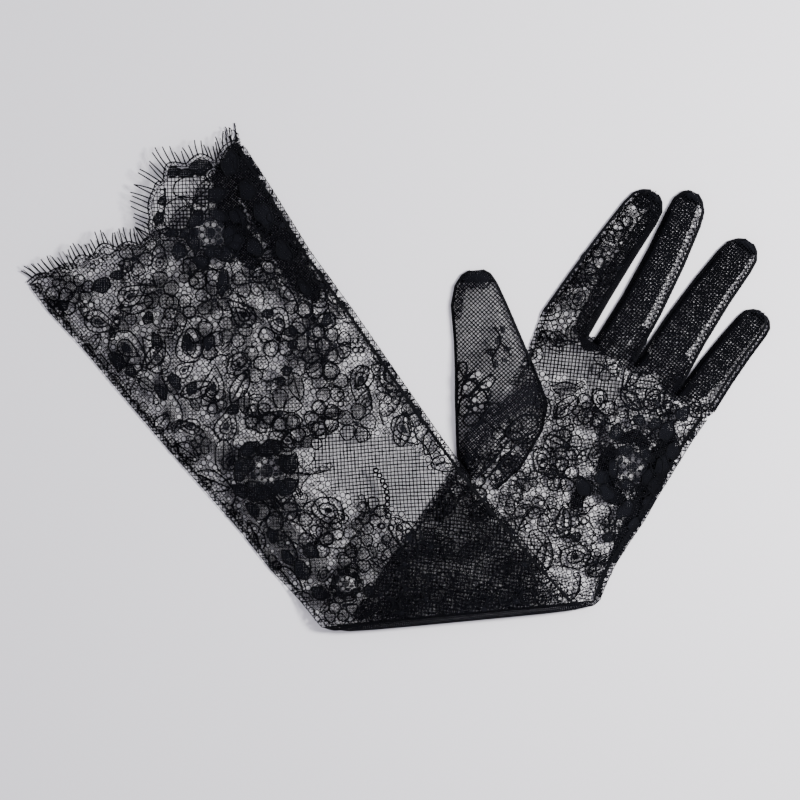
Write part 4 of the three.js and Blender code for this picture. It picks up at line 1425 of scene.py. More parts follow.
def band_mesh(name, bands, columns):
    """Closed sheets of fine net between pairs of plan curves, draped on their cloths."""
    points = []
    faces = []
    start = 0
    for cloth, left, right in bands:
        share = np.linspace(0, 1, columns)[None, :, None]
        grid = left[:, None] + (right - left)[:, None] * share
        height = cloth.survey(grid.reshape(-1, 2))[0].reshape(grid.shape[:2])
        fit = ~np.isnan(height).any(axis=1)
        grid = grid[fit]
        height = height[fit]
        rows = len(grid)
        if rows < 2:
            continue
        for side in (0.5, -0.5):
            points.append(np.dstack([grid, height + side * BAND_THICKNESS]).reshape(-1, 3))
        number = np.arange(rows * columns).reshape(rows, columns) + start
        low = number + rows * columns
        is_turned = cross(grid[1, 0] - grid[0, 0], grid[0, 1] - grid[0, 0]) < 0
        down = range(rows - 1)
        over = range(columns - 1)
        around = [(number[i, j], number[i, j + 1], number[i + 1, j + 1], number[i + 1, j])
                  for i in down for j in over]
        around += [(low[i, j], low[i + 1, j], low[i + 1, j + 1], low[i, j + 1]) for i in down for j in over]
        around += [(number[i, 0], number[i + 1, 0], low[i + 1, 0], low[i, 0]) for i in down]
        around += [(number[i + 1, -1], number[i, -1], low[i, -1], low[i + 1, -1]) for i in down]
        around += [(number[0, j + 1], number[0, j], low[0, j], low[0, j + 1]) for j in over]
        around += [(number[-1, j], number[-1, j + 1], low[-1, j + 1], low[-1, j]) for j in over]
        faces += around if is_turned else [face[::-1] for face in around]
        start += 2 * rows * columns
    return mesh_of(name, np.concatenate(points), [tuple(int(corner) for corner in face) for face in faces])


def band_on(panel, cloth, rows, shares):
    """A band between two shares of a panel's width."""
    row = np.linspace(rows[0], rows[1], max(4, int((rows[1] - rows[0]) * 5)))
    left, right = panel.sides(row)
    return cloth, left + (right - left) * shares[0], left + (right - left) * shares[1]


def finger_band(band, cloth):
    """A band along a finger, which narrows towards its root."""
    name, first, last, left, right = band
    cloth, left_line, right_line = band_on(FINGER_PANELS[name], cloth, (first, last), (left, right))
    middle = (left_line + right_line) / 2
    order = np.arange(len(middle))
    waves = 1 - 0.05 * np.sin(order * 1.9) ** 2
    spread = (np.sqrt(np.clip(np.linspace(0.2, 5.0, len(middle)), 0, 1)) * waves)[:, None]
    return cloth, middle + (left_line - middle) * spread, middle + (right_line - middle) * spread


def band_along(cloth, path, half_width):
    """A band along a plan path, with tapered ends."""
    path = np.array(path, float)
    walked = walk(path)
    spots = np.linspace(0, walked[-1], max(4, int(walked[-1] / 2)))
    path = np.stack([np.interp(spots, walked, path[:, 0]), np.interp(spots, walked, path[:, 1])], axis=1)
    taper = np.minimum(1, 0.35 + 4 * np.minimum(spots, spots[-1] - spots) / spots[-1])
    aside = asides(path) * (half_width * taper)[:, None]
    waves = [1 + 0.16 * np.sin(spots * rate)[:, None] for rate in (0.9, 1.3)]
    return cloth, path + aside * waves[0], path - aside * waves[1]


def add_outlines(threads, pattern, cloth, weight):
    """Lays a pattern's outlines on a cloth."""
    lines = [line for line, _, _ in pattern.outlines]
    if not lines:
        return
    height, kept = cloth.survey(np.concatenate(lines))
    breaks = np.cumsum([len(line) for line in lines])[:-1]
    laid = zip(pattern.outlines, np.split(height, breaks), np.split(kept, breaks))
    for (line, is_closed, own_weight), level, is_on in laid:
        if is_on.sum() > 1:
            draped = np.column_stack([line, level + OUTLINE_LIFT])
            threads.add_line(draped, weight * own_weight, is_closed, is_on)


def add_rings(threads, pattern, cloth, sides=8):
    """Winds a thread round each hole of a pattern."""
    if not pattern.rings:
        return
    lines = np.array([ellipse(x, y, hole + 0.15, hole + 0.15, 0, sides) for x, y, hole in pattern.rings])
    height, kept = cloth.survey(lines.reshape(-1, 2))
    height = height.reshape(-1, sides)
    for line, level, is_on in zip(lines, height, kept.reshape(-1, sides)):
        if is_on.all():
            threads.add_line(np.column_stack([line, level + RING_LIFT]), RING_SHARE, True)


def add_seam(threads, cloth, line, lift, thickness=1.0):
    """Lays a thread on a cloth along a plan line, as far as the cloth reaches."""
    height, kept = cloth.survey(line)
    threads.add_line(np.column_stack([line, height + lift]), thickness, False, kept)


def link(obj):
    """Puts an object in the scene."""
    bpy.context.scene.collection.objects.link(obj)
    return obj


def path_object(name, threads):
    """An object of bare paths with their thickness, for the thread trees."""
    mesh = bpy.data.meshes.new(name + "_paths")
    points = in_metres(np.concatenate(threads.points))
    edges = np.concatenate(threads.edges)
    mesh.vertices.add(len(points))
    mesh.vertices.foreach_set("co", points.ravel())
    mesh.edges.add(len(edges))
    mesh.edges.foreach_set("vertices", edges.ravel())
    thickness = mesh.attributes.new("thickness", "FLOAT", "POINT")
    thickness.data.foreach_set("value", np.concatenate(threads.thickness).astype(np.float32))
    mesh.update()
    return link(bpy.data.objects.new(name + "_paths", mesh))


def grown(name, source, tree, values):
    """Runs a node tree on an object of paths, and leaves its result as a plain mesh piece."""
    modifier = source.modifiers.new("threads", "NODES")
    modifier.node_group = tree
    for socket in tree.interface.items_tree:
        if socket.item_type == "SOCKET" and socket.in_out == "INPUT" and socket.name in values:
            modifier[socket.identifier] = values[socket.name]
    bpy.context.view_layer.update()
    evaluated = source.evaluated_get(bpy.context.evaluated_depsgraph_get())
    mesh = bpy.data.meshes.new_from_object(evaluated)
    mesh.name = name
    piece = link(bpy.data.objects.new(name, mesh))
    if not mesh.materials:
        mesh.materials.append(values["Material"])
    paths = source.data
    bpy.data.objects.remove(source)
    bpy.data.meshes.remove(paths)
    return piece


def settle(piece, node):
    """Attaches a finished piece to what it rides on, and hides the solid it stands for."""
    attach(piece, BODY)
    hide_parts(node)


def mesh_piece(mesh, look, node):
    """A piece of a ready mesh in a close weave."""
    mesh.materials.append(weave_finish(look))
    settle(link(bpy.data.objects.new(mesh.name, mesh)), node)


def thread_piece(name, threads, radius, sides, look, node):
    """A piece of round threads along paths."""
    values = {"Thread Radius": radius, "Sides": sides, "Material": thread_finish(look)}
    settle(grown(name, path_object(name, threads), thread_tree(), values), node)


def stitch_piece(name, threads, radius, length, spacing, look, node):
    """A piece of slanted stitches along paths."""
    values = {"Stitch Spacing": spacing, "Stitch Length": length, "Thread Radius": radius,
              "Material": thread_finish(look)}
    settle(grown(name, path_object(name, threads), stitch_tree(), values), node)


def add_node(tree, kind, links=None, values=None, settings=None):
    """Adds a node with settings, input values and the sockets that feed it, and gives its outputs."""
    node = tree.nodes.new(kind)
    for label, value in (settings or {}).items():
        setattr(node, label, value)
    for label, value in (values or {}).items():
        node.inputs[label].default_value = value
    for label, source in (links or {}).items():
        tree.links.new(source, node.inputs[label])
    return node.outputs


def new_tree(name, kind, inputs, outputs):
    """A node tree with named inputs and outputs, the sockets that feed it and those that it fills."""
    tree = bpy.data.node_groups.new(name, kind)
    for label, socket_type, default in inputs:
        socket = tree.interface.new_socket(label, in_out="INPUT", socket_type=socket_type)
        if default is not None:
            socket.default_value = default
    for label, socket_type in outputs:
        tree.interface.new_socket(label, in_out="OUTPUT", socket_type=socket_type)
    return tree, tree.nodes.new("NodeGroupInput").outputs, tree.nodes.new("NodeGroupOutput").inputs


def end_tree(tree, geometry, given, result):
    """Ends a geometry tree with its instances made real and its material set."""
    real = add_node(tree, "GeometryNodeRealizeInstances", {"Geometry": geometry})
    painted = add_node(tree, "GeometryNodeSetMaterial", {
        "Geometry": real["Geometry"],
        "Material": given["Material"],
    })
    tree.links.new(painted["Geometry"], result["Geometry"])


def thread_tree():
    """Paths to round threads of the radius asked, thinner or thicker by the paths' own thickness."""
    found = bpy.data.node_groups.get(THREAD_TREE)
    if found:
        return found
    tree, given, result = new_tree(THREAD_TREE, "GeometryNodeTree", (
        ("Geometry", "NodeSocketGeometry", None),
        ("Thread Radius", "NodeSocketFloat", 0.00013),
        ("Sides", "NodeSocketInt", 3),
        ("Material", "NodeSocketMaterial", None),
    ), (("Geometry", "NodeSocketGeometry"),))
    curve = add_node(tree, "GeometryNodeMeshToCurve", {"Mesh": given["Geometry"]})
    profile = add_node(tree, "GeometryNodeCurvePrimitiveCircle", {
        "Resolution": given["Sides"],
        "Radius": given["Thread Radius"],
    })
    thickness = add_node(tree, "GeometryNodeInputNamedAttribute", values={"Name": "thickness"},
                         settings={"data_type": "FLOAT"})
    thread = add_node(tree, "GeometryNodeCurveToMesh", {
        "Curve": curve["Curve"],
        "Profile Curve": profile["Curve"],
        "Scale": thickness["Attribute"],
    }, {"Fill Caps": True})
    end_tree(tree, thread["Mesh"], given, result)
    return tree


def stitch_tree():
    """Paths to slanted stitches, set out evenly along them."""
    found = bpy.data.node_groups.get(STITCH_TREE)
    if found:
        return found
    tree, given, result = new_tree(STITCH_TREE, "GeometryNodeTree", (
        ("Geometry", "NodeSocketGeometry", None),
        ("Stitch Spacing", "NodeSocketFloat", 0.0011),
        ("Stitch Length", "NodeSocketFloat", 0.0014),
        ("Thread Radius", "NodeSocketFloat", 0.0002),
        ("Material", "NodeSocketMaterial", None),
    ), (("Geometry", "NodeSocketGeometry"),))
    curve = add_node(tree, "GeometryNodeMeshToCurve", {"Mesh": given["Geometry"]})
    spots = add_node(tree, "GeometryNodeResampleCurve", {
        "Curve": curve["Curve"],
        "Length": given["Stitch Spacing"],
    }, settings={"mode": "LENGTH"})
    tangent = add_node(tree, "GeometryNodeInputTangent")
    turn = add_node(tree, "FunctionNodeAlignRotationToVector", {"Vector": tangent["Tangent"]},
                    settings={"axis": "X", "pivot_axis": "Z"})
    line = add_node(tree, "GeometryNodeCurvePrimitiveLine", {"Length": given["Stitch Length"]},
                    {"Direction": STITCH_DIRECTION}, {"mode": "DIRECTION"})
    profile = add_node(tree, "GeometryNodeCurvePrimitiveCircle", {"Radius": given["Thread Radius"]},
                       {"Resolution": 4})
    stitch = add_node(tree, "GeometryNodeCurveToMesh", {
        "Curve": line["Curve"],
        "Profile Curve": profile["Curve"],
    }, {"Fill Caps": True})
    start = add_node(tree, "ShaderNodeMath", {0: given["Stitch Length"]}, {1: STITCH_START},
                     {"operation": "MULTIPLY"})
    aside = add_node(tree, "ShaderNodeCombineXYZ", {"Y": start["Value"]})
    centred = add_node(tree, "GeometryNodeTransform", {
        "Geometry": stitch["Mesh"],
        "Translation": aside["Vector"],
    })
    placed = add_node(tree, "GeometryNodeInstanceOnPoints", {
        "Points": spots["Curve"],
        "Instance": centred["Geometry"],
        "Rotation": turn["Rotation"],
    })
    end_tree(tree, placed["Instances"], given, result)
    return tree


def mix_colours(tree, factor, low, high):
    """A mix of two colours, steered by a mask."""
    return add_node(tree, "ShaderNodeMix", {"Factor": factor}, {"A": (*low, 1), "B": (*high, 1)},
                    {"data_type": "RGBA"})["Result"]


def noise(tree, position, detail, scale=None, rate=1.0):
    """A noise texture on a position, its grains per metre fed by a socket or given."""
    links = {"Vector": position}
    if scale is not None:
        links["Scale"] = scale
    return add_node(tree, "ShaderNodeTexNoise", links, {"Detail": detail, "Scale": rate})["Fac"]


def tone_drift_group():
    """How dye and dust drift over cloth: a broad mask and a fine one."""
    found = bpy.data.node_groups.get("Tone drift")
    if found:
        return found
    tree, given, result = new_tree("Tone drift", "ShaderNodeTree", (
        ("Position", "NodeSocketVector", (0, 0, 0)),
        ("Broad Scale", "NodeSocketFloat", 26.0),
        ("Fine Scale", "NodeSocketFloat", 900.0),
    ), (("Broad", "NodeSocketFloat"), ("Fine", "NodeSocketFloat")))
    for label, low, high in (("Broad", 0.35, 0.65), ("Fine", 0.3, 0.72)):
        grain = noise(tree, given["Position"], 3.0, given[label + " Scale"])
        spread = add_node(tree, "ShaderNodeMapRange", {"Value": grain}, {"From Min": low, "From Max": high})
        tree.links.new(spread["Result"], result[label])
    return tree


def twist_group():
    """The twist of a spun thread: fine slanted ridges and loose fibres, as a height, and the ridges as a mask
    of painted shade in the grooves between them.
    """
    found = bpy.data.node_groups.get("Thread twist")
    if found:
        return found
    tree, given, result = new_tree("Thread twist", "ShaderNodeTree", (
        ("Position", "NodeSocketVector", (0, 0, 0)),
        ("Ridges", "NodeSocketFloat", 1900.0),
        ("Fibres", "NodeSocketFloat", 6500.0),
    ), (("Height", "NodeSocketFloat"), ("Mask", "NodeSocketFloat")))
    ridges = add_node(tree, "ShaderNodeTexWave", {"Vector": given["Position"], "Scale": given["Ridges"]},
                      {"Distortion": 1.6, "Detail": 1.0}, {"bands_direction": "DIAGONAL"})["Fac"]
    fibres = noise(tree, given["Position"], 2.0, given["Fibres"])
    both = add_node(tree, "ShaderNodeMath", {0: fibres, 2: ridges}, {1: 0.6}, {"operation": "MULTIPLY_ADD"})
    tree.links.new(both["Value"], result["Height"])
    # Painted shade: the ridges darken the thread's tone in its grooves
    tree.links.new(ridges, result["Mask"])
    return tree


def weave_group():
    """Two crossing sets of close threads: a height, a mask of painted shade in the hollows between the
    threads, and one of the holes left.
    """
    found = bpy.data.node_groups.get("Close work")
    if found:
        return found
    tree, given, result = new_tree("Close work", "ShaderNodeTree", (
        ("Position", "NodeSocketVector", (0, 0, 0)),
        ("Threads", "NodeSocketFloat", 420.0),
        ("Openness", "NodeSocketFloat", 0.5),
        ("Patchiness", "NodeSocketFloat", 0.3),
    ), (("Height", "NodeSocketFloat"), ("Mask", "NodeSocketFloat"), ("Cover", "NodeSocketFloat")))
    waves = {}
    for k, direction in enumerate(("X", "Y")):
        waves[k] = add_node(tree, "ShaderNodeTexWave", {
            "Vector": given["Position"],
            "Scale": given["Threads"],
        }, {"Distortion": 1.2, "Detail": 1.0, "Detail Scale": 0.6}, {"bands_direction": direction})["Fac"]
    height = add_node(tree, "ShaderNodeMath", waves, settings={"operation": "MAXIMUM"})["Value"]
    # Painted shade: the low places between the threads are darkened
    mask = add_node(tree, "ShaderNodeMapRange", {"Value": height}, {"To Min": 0.35})
    patches = noise(tree, given["Position"], 2.0, rate=PATCH_SCALE)
    shift = add_node(tree, "ShaderNodeMath", {0: patches, 1: given["Patchiness"], 2: height},
                     settings={"operation": "MULTIPLY_ADD"})
    cover = add_node(tree, "ShaderNodeMath", {0: shift["Value"], 1: given["Openness"]},
                     settings={"operation": "GREATER_THAN"})
    tree.links.new(height, result["Height"])
    tree.links.new(mask["Result"], result["Mask"])
    tree.links.new(cover["Value"], result["Cover"])
    return tree


def group_node(tree, group, position, values):
    """Places a node group on a position, with its own values."""
    return add_node(tree, "ShaderNodeGroup", {"Position": position}, values, {"node_tree": group})


def new_material(name):
    """An empty material, its node tree and the position that its nodes work from."""
    material = bpy.data.materials.new(name)
    material.use_nodes = True
    tree = material.node_tree
    tree.nodes.clear()
    return material, tree, add_node(tree, "ShaderNodeTexCoord")["Object"]


def end_material(tree, colour, fine, roughness, shine, more):
    """Ends a material: colour, roughness that drifts with a fine mask, and what else feeds the shader."""
    rough = add_node(tree, "ShaderNodeMapRange", {"Value": fine},
                     {"To Min": roughness[0], "To Max": roughness[1]})
    links = {"Base Color": colour, "Roughness": rough["Result"], **more}
    shader = add_node(tree, "ShaderNodeBsdfPrincipled", links, {"Specular IOR Level": shine})
    add_node(tree, "ShaderNodeOutputMaterial", {"Surface": shader["BSDF"]})


def finish(name, dye, dust, group, values, roughness, bump, turn=0.0):
    """A material whose tone and roughness drift, with the relief, the painted shade in the relief's hollows,
    and the holes if any, of a node group.
    """
    found = bpy.data.materials.get(name)
    if found:
        return found
    material, tree, position = new_material(name)
    if turn:
        position = add_node(tree, "ShaderNodeMapping", {"Vector": position},
                            {"Rotation": (0, 0, math.radians(turn))})["Vector"]
    drift = group_node(tree, tone_drift_group(), position, {})
    form = group_node(tree, group, position, values)
    colour = tuple(getattr(bpy.context.scene.lace_dyes, dye))
    tone = mix_colours(tree, drift["Broad"], colour, tuple(part * dust + DUST for part in colour))
    # Painted shade: the tone is darkened where the relief is low, in a thread's grooves and between close
    # threads
    shaded_tone = add_node(tree, "ShaderNodeMix", {"A": tone, "B": form["Mask"]}, {"Factor": HOLLOW_SHADE_DEPTH},
                    {"data_type": "RGBA", "blend_type": "MULTIPLY"})
    relief = add_node(tree, "ShaderNodeBump", {"Height": form["Height"]},
                      {"Strength": bump, "Distance": RELIEF_DEPTH})
    more = {"Normal": relief["Normal"]}
    if "Cover" in form:
        more["Alpha"] = form["Cover"]
    end_material(tree, shaded_tone["Result"], drift["Fine"], roughness, THREAD_SHINE, more)
    return material


def thread_finish(name):
    """The finish of a spun thread."""
    dye, dust, ridges, smoothest, roughest, bump = THREAD_LOOKS[name]
    return finish(name, dye, dust, twist_group(), {"Ridges": ridges}, (smoothest, roughest), bump)


def weave_finish(name):
    """The finish of close work or fine net, with pinholes."""
    dye, dust, count, openness, patchiness, bump, turn = WEAVE_LOOKS[name]
    values = {"Threads": count, "Openness": openness, "Patchiness": patchiness}
    return finish(name, dye, dust, weave_group(), values, WEAVE_ROUGHNESS, bump, turn)


def hand_made(pattern, roses, petals, blossoms, hole_rows, paisleys=()):
    """Puts in the flowers whose places are given, with bold outlines."""
    pattern.weight = BOLD_WEIGHT
    for rose in roses:
        add_rose(pattern, *rose)
    for x, y, length, width, degrees in petals:
        add_closed(pattern, ruffled(leaf_outline(x, y, length, width * 1.1, degrees, 18), 0.16))
        pattern.claim(x, y, length * 0.35)
    for paisley in paisleys:
        add_paisley(pattern, *paisley)
    for blossom in blossoms:
        add_blossom(pattern, *blossom)
    for from_x, from_y, to_x, to_y, bulge, count, hole in hole_rows:
        add_hole_row(pattern, (from_x, from_y), (to_x, to_y), bulge, count, hole)


def arm_upper_pattern():
    """The flowers of the arm's upper cloth, with a row of pearls inside its left seam."""
    pattern = Pattern(ARM_CLEAR)
    hand_made(pattern, ARM_ROSES, ARM_PETALS, ARM_BLOSSOMS, ARM_HOLE_ROWS, ARM_PAISLEYS)
    for x, y in ARM.edge("left", 7.0, 1.4, 8.6, 0.145):
        pattern.rings.append((x, y, 0.8))
        pattern.claim(x, y, 1.4)
    for x, y, half_length, half_width, degrees in SCALLOP_PETALS:
        pattern.outline(ruffled(ellipse(x, y, half_length, half_width, degrees), 0.06))
        pattern.claim(x, y, half_length)
    chain = bent(*BERRY_STEM[:4])
    pattern.weight = BERRY_WEIGHT
    for x, y, hole in (*ARM_BERRIES, *((x, y, BERRY_STEM[4]) for x, y in chain)):
        pattern.rings.append((x, y, hole))
        pattern.outline(ellipse(x, y, hole + 0.3, hole + 0.3, 0, 10))
    scatter(pattern, ARM_UPPER, "arm_upper", ARM_CLEAR)
    scallop = Region(ellipse(*SCALLOP))
    pattern.close = [outline for outline in pattern.close if not scallop.holds(outline.mean(axis=0)[None])[0]]
    pattern.close += [ruffled(ellipse(*shade), 0.14) for shade in ARM_SHADES]
    return pattern


def arm_under_pattern(above):
    """The flowers of the arm's under cloth, which shows through the upper one."""
    pattern = Pattern()
    pattern.leave_open(above, ARM_ROSES)
    scatter(pattern, ARM_UNDER, "arm_under", ARM_CLEAR)
    return pattern


def thumb_windows():
    """Places under the thumb's rows of holes, which stay open in the cloths of the hand."""
    windows = []
    for from_x, from_y, to_x, to_y, bulge, count, hole in THUMB_HOLE_ROWS:
        row = bent((from_x, from_y), (to_x, to_y), bulge, count)
        windows += [(x, y, hole * THUMB_WINDOW_GROWTH) for x, y in row]
    return windows


def palm_pattern(bare):
    """The flowers of the palm's cloth."""
    pattern = Pattern(PALM_CLEAR, bare)
    pattern.windows += thumb_windows()
    hand_made(pattern, PALM_ROSES, PALM_PETALS, PALM_BLOSSOMS, PALM_HOLE_ROWS)
    scatter(pattern, PALM_CLOTH, "palm", (*PALM_CLEAR, *FINGER_CLEAR))
    pattern.close = pattern.close[::3] + [ruffled(ellipse(*shade), 0.14) for shade in PALM_SHADES]
    return pattern


def back_pattern(above):
    """The flowers of the cloth on the back of the hand."""
    pattern = Pattern()
    pattern.leave_open(above, PALM_ROSES)
    pattern.windows += thumb_windows()
    scatter(pattern, BACK_CLOTH, "back", (*PALM_CLEAR, *FINGER_CLEAR))
    return pattern


def thumb_upper_pattern():
    """The sprig and the rows of holes on the thumb."""
    pattern = Pattern(closeness=THUMB_CLOSENESS)
    for from_x, from_y, to_x, to_y, bulge, count, hole in THUMB_HOLE_ROWS:
        add_hole_row(pattern, (from_x, from_y), (to_x, to_y), bulge, count, hole)
    for x, y, length, width, degrees in THUMB_PETALS:
        pattern.patches.append(ruffled(leaf_outline(x, y, length, width, degrees), 0.12))
    for x, y, half_length, half_width, degrees in THUMB_CELLS:
        pattern.outline(ruffled(ellipse(x, y, half_length, half_width, degrees), 0.1))
    for line in THUMB_VINES:
        pattern.outline(np.array(line, float), False)
    left = THUMB.edge("left", THUMB_TIP_INSET, THUMB_TIP_ROWS[0])
    right = THUMB.edge("right", THUMB_TIP_INSET, THUMB_TIP_ROWS[1])
    pattern.patches.append(np.concatenate([left, right[::-1]]))
    return pattern


def thumb_under_pattern(above):
    """The lace of the thumb's under side."""
    pattern = Pattern(closeness=THUMB_CLOSENESS)
    pattern.leave_open(above, ())
    return pattern


def lay_lace(cloth, pattern, lace, open_turn, field_turn, seed, stride):
    """A cloth's whole net: open in its clear places and seams, finer in its flowered field."""
    threads = Threads()
    pitch = lace.net_pitch / MM * pattern.closeness
    field = Field(cloth, pattern.clear) if pattern.clear else None
    opened = Ground(cloth, pattern, Outside(field) if field else None)
    lay_net(threads, cloth, opened.holds, pitch, open_turn, seed, 0.0, 1.0, stride)
    if field:
        pitch = lace.field_pitch / MM
        share = lace.field_share
        flowered = Ground(cloth, pattern, field)
        lay_net(threads, cloth, flowered.holds, pitch, field_turn, seed + FIELD_SEED_STEP, 0.0, share, 2)
        close = Ground(cloth, pattern, Either([Region(outline) for outline in pattern.close]))
        share *= CLOSE_SHARE
        lay_net(threads, cloth, close.holds, pitch, field_turn, seed + CLOSE_SEED_STEP, 0.5, share, 2)
    return threads


def dress_cloth(name, cloth, pattern, lace, radius, node):
    """Makes one cloth's three pieces: net, close work, and outlines with ringed holes."""
    open_turn, field_turn, seed, stride, weight = CLOTH_NETS[name]
    threads = lay_lace(cloth, pattern, lace, open_turn, field_turn, seed, stride)
    thread_piece(name + "_net", threads, radius, 3, "Net thread", node)
    if pattern.patches:
        mesh = slab_mesh(name + "_close_work", pattern.patches, cloth, CLOSE_WORK_THICKNESS)
        mesh_piece(mesh, "Close work", node)
    lines = Threads()
    add_outlines(lines, pattern, cloth, weight)
    add_rings(lines, pattern, cloth)
    if lines.count:
        thread_piece(name + "_outlines", lines, lace.outline_radius, 3, "Outline thread", node)


def hand_cloth(side, shape, cut):
    """The part of the hand's palm or back that a shape holds."""
    return Cloth(HAND_PANELS, side, place_hand, True, kept=[shape], cut=cut, area=(shape.low, shape.high))


def length_setting(name, description, default, low, high):
    """A length in metres on the panel."""
    return bpy.props.FloatProperty(name=name, description=description, default=default, min=low, max=high,
                                   subtype="DISTANCE", unit="LENGTH")


def share_setting(name, description, default):
    """A share on the panel."""
    return bpy.props.FloatProperty(name=name, description=description, default=default, min=0.2, max=1.5,
                                   subtype="FACTOR")


def colour_setting(name, description, default):
    """A colour on the panel."""
    return bpy.props.FloatVectorProperty(name=name, description=description, default=default, min=0, max=1,
                                         size=3, subtype="COLOR")


class LaceSizes(bpy.types.PropertyGroup):
    """Sizes of the net and its threads."""

    net_pitch: length_setting(
        "Net Pitch", "Distance between the threads of the open net", 0.00165, 0.0008, 0.005)
    arm_radius: length_setting(
        "Arm Thread Radius", "Radius of the net's threads on the long arm", 0.00027, 0.00004, 0.001)
    hand_radius: length_setting(
        "Hand Thread Radius", "Radius of the net's threads on the hand and fingers", 0.00029, 0.00004, 0.001)
    under_share: share_setting(
        "Under Thread Share", "Thickness of the under cloth's threads against the upper one's", 0.65)
    field_pitch: length_setting(
        "Field Pitch", "Distance between the net's threads among the flowers", 0.00128, 0.0007, 0.005)
    field_share: share_setting(
        "Field Thread Share", "Thickness of the net's threads among the flowers", 0.62)
    thumb_radius: length_setting(
        "Thumb Thread Radius", "Radius of the net's threads on the thumb", 0.0003, 0.00004, 0.001)
    outline_radius: length_setting(
        "Outline Thread Radius", "Radius of the thread that outlines the flowers", 0.00036, 0.00008, 0.001)


class LaceEdges(bpy.types.PropertyGroup):
    """Sizes of the seams and of the eyelash hem."""

    seam_radius: length_setting("Seam Thread Radius", "Radius of the overlock thread", 0.0002, 0.00005, 0.001)
    stitch_spacing: length_setting(
        "Stitch Spacing", "Distance between the stitches of a seam", 0.0012, 0.0004, 0.005)
    stitch_length: length_setting("Stitch Length", "Length of one slanted stitch", 0.0015, 0.0004, 0.005)
    lash_pitch: length_setting("Eyelash Pitch", "Distance between the eyelash threads", 0.0024, 0.001, 0.01)
    lash_radius: length_setting(
        "Eyelash Radius", "Radius of an eyelash thread at its root", 0.00036, 0.00005, 0.001)


class LaceDyes(bpy.types.PropertyGroup):
    """Colours of the threads."""

    net_colour: colour_setting("Net Colour", "Colour of the net's thread", (0.0025, 0.0027, 0.0042))
    flower_colour: colour_setting(
        "Flower Colour", "Colour of the outlines and the closed petals", (0.002, 0.0022, 0.0034))
    seam_colour: colour_setting("Seam Colour", "Colour of the overlock thread", (0.0034, 0.0036, 0.005))


class LaceStage(bpy.types.PropertyGroup):
    """Floor, light and camera."""

    floor_colour: colour_setting("Floor Colour", "Colour of the pale floor", (0.74, 0.73, 0.76))
    lamp_power: bpy.props.FloatProperty(
        name="Lamp Power", description="Power of the soft lamp", default=16.5, min=0, max=1000,
        unit="POWER")
    sky_strength: bpy.props.FloatProperty(
        name="Room Light", description="Strength of the even light of the room", default=1.0, min=0, max=10)
    camera_height: length_setting(
        "Camera Height", "Height of the camera over the floor", 1.384, 0.2, 10)


class LACEGLOVE_OT_arm(bpy.types.Operator):
    """Make the lace of the long arm, upper and under cloth"""

    bl_idname = "laceglove.arm"
    bl_label = "Arm Lace"

    def execute(self, context):
        lace = context.scene.lace_sizes
        upper = arm_upper_pattern()
        under = arm_under_pattern(upper)
        dress_cloth("arm_upper", ARM_UPPER, upper, lace, lace.arm_radius, "trank")
        dress_cloth("arm_under", ARM_UNDER, under, lace, lace.arm_radius * lace.under_share, "trank")
        bands = [band_along(ARM_UNDER, path, half_width) for half_width, path in ARM_BUNCHES]
        mesh_piece(band_mesh("arm_fine_net", bands, BAND_COLUMNS), "Fine arm net", "trank")
        return {"FINISHED"}


class LACEGLOVE_OT_hand(bpy.types.Operator):
    """Make the lace of the hand and the fingers, palm and back"""

    bl_idname = "laceglove.hand"
    bl_label = "Hand Lace"

    def execute(self, context):
        lace = context.scene.lace_sizes
        bare = []
        for band in FINGER_BANDS:
            _, left, right = finger_band(band, PALM_CLOTH)
            bare.append(np.concatenate([left, right[::-1]]))
        palm = palm_pattern(bare)
        back = back_pattern(palm)
        dress_cloth("palm", PALM_CLOTH, palm, lace, lace.hand_radius, "trank")
        dress_cloth("back", BACK_CLOTH, back, lace, lace.hand_radius * lace.under_share, "trank")
        bands = [finger_band(band, BACK_CLOTH) for band in FINGER_BANDS]
        bands += [band_along(BACK_CLOTH, path, half_width) for half_width, path in CROTCH_BANDS]
        mesh_piece(band_mesh("finger_fine_net", bands, BAND_COLUMNS), "Fine finger net", "trank")
        bands = [band_along(BACK_CLOTH, path, half_width) for half_width, path in PALM_BUNCHES]
        mesh_piece(band_mesh("palm_fine_net", bands, BAND_COLUMNS), "Fine palm net", "trank")
        threads = Threads()
        for k, outline in enumerate(bare):
            cloth = hand_cloth("palm", Region(outline), [*PARTINGS, *FORK_CUTS])
            lay_net(threads, cloth, cloth.covers, FINGER_PITCH, FINGER_TURN, FINGER_SEED + k)
        thread_piece("finger_close_net", threads, lace.hand_radius * FINGER_SHARE, 3, "Net thread", "trank")
        return {"FINISHED"}


class LACEGLOVE_OT_bend(bpy.types.Operator):
    """Make the lace that turns over at the fold across the wrist"""

    bl_idname = "laceglove.bend"
    bl_label = "Folded Lace"

    def execute(self, context):
        lace = context.scene.lace_sizes
        threads = Threads()
        for is_back in (True, False):
            lay_fold_net(threads, is_back, BEND_PITCH)
        thread_piece("bend_net", threads, lace.arm_radius * BEND_SHARE, 3, "Net thread", "trank")
        return {"FINISHED"}


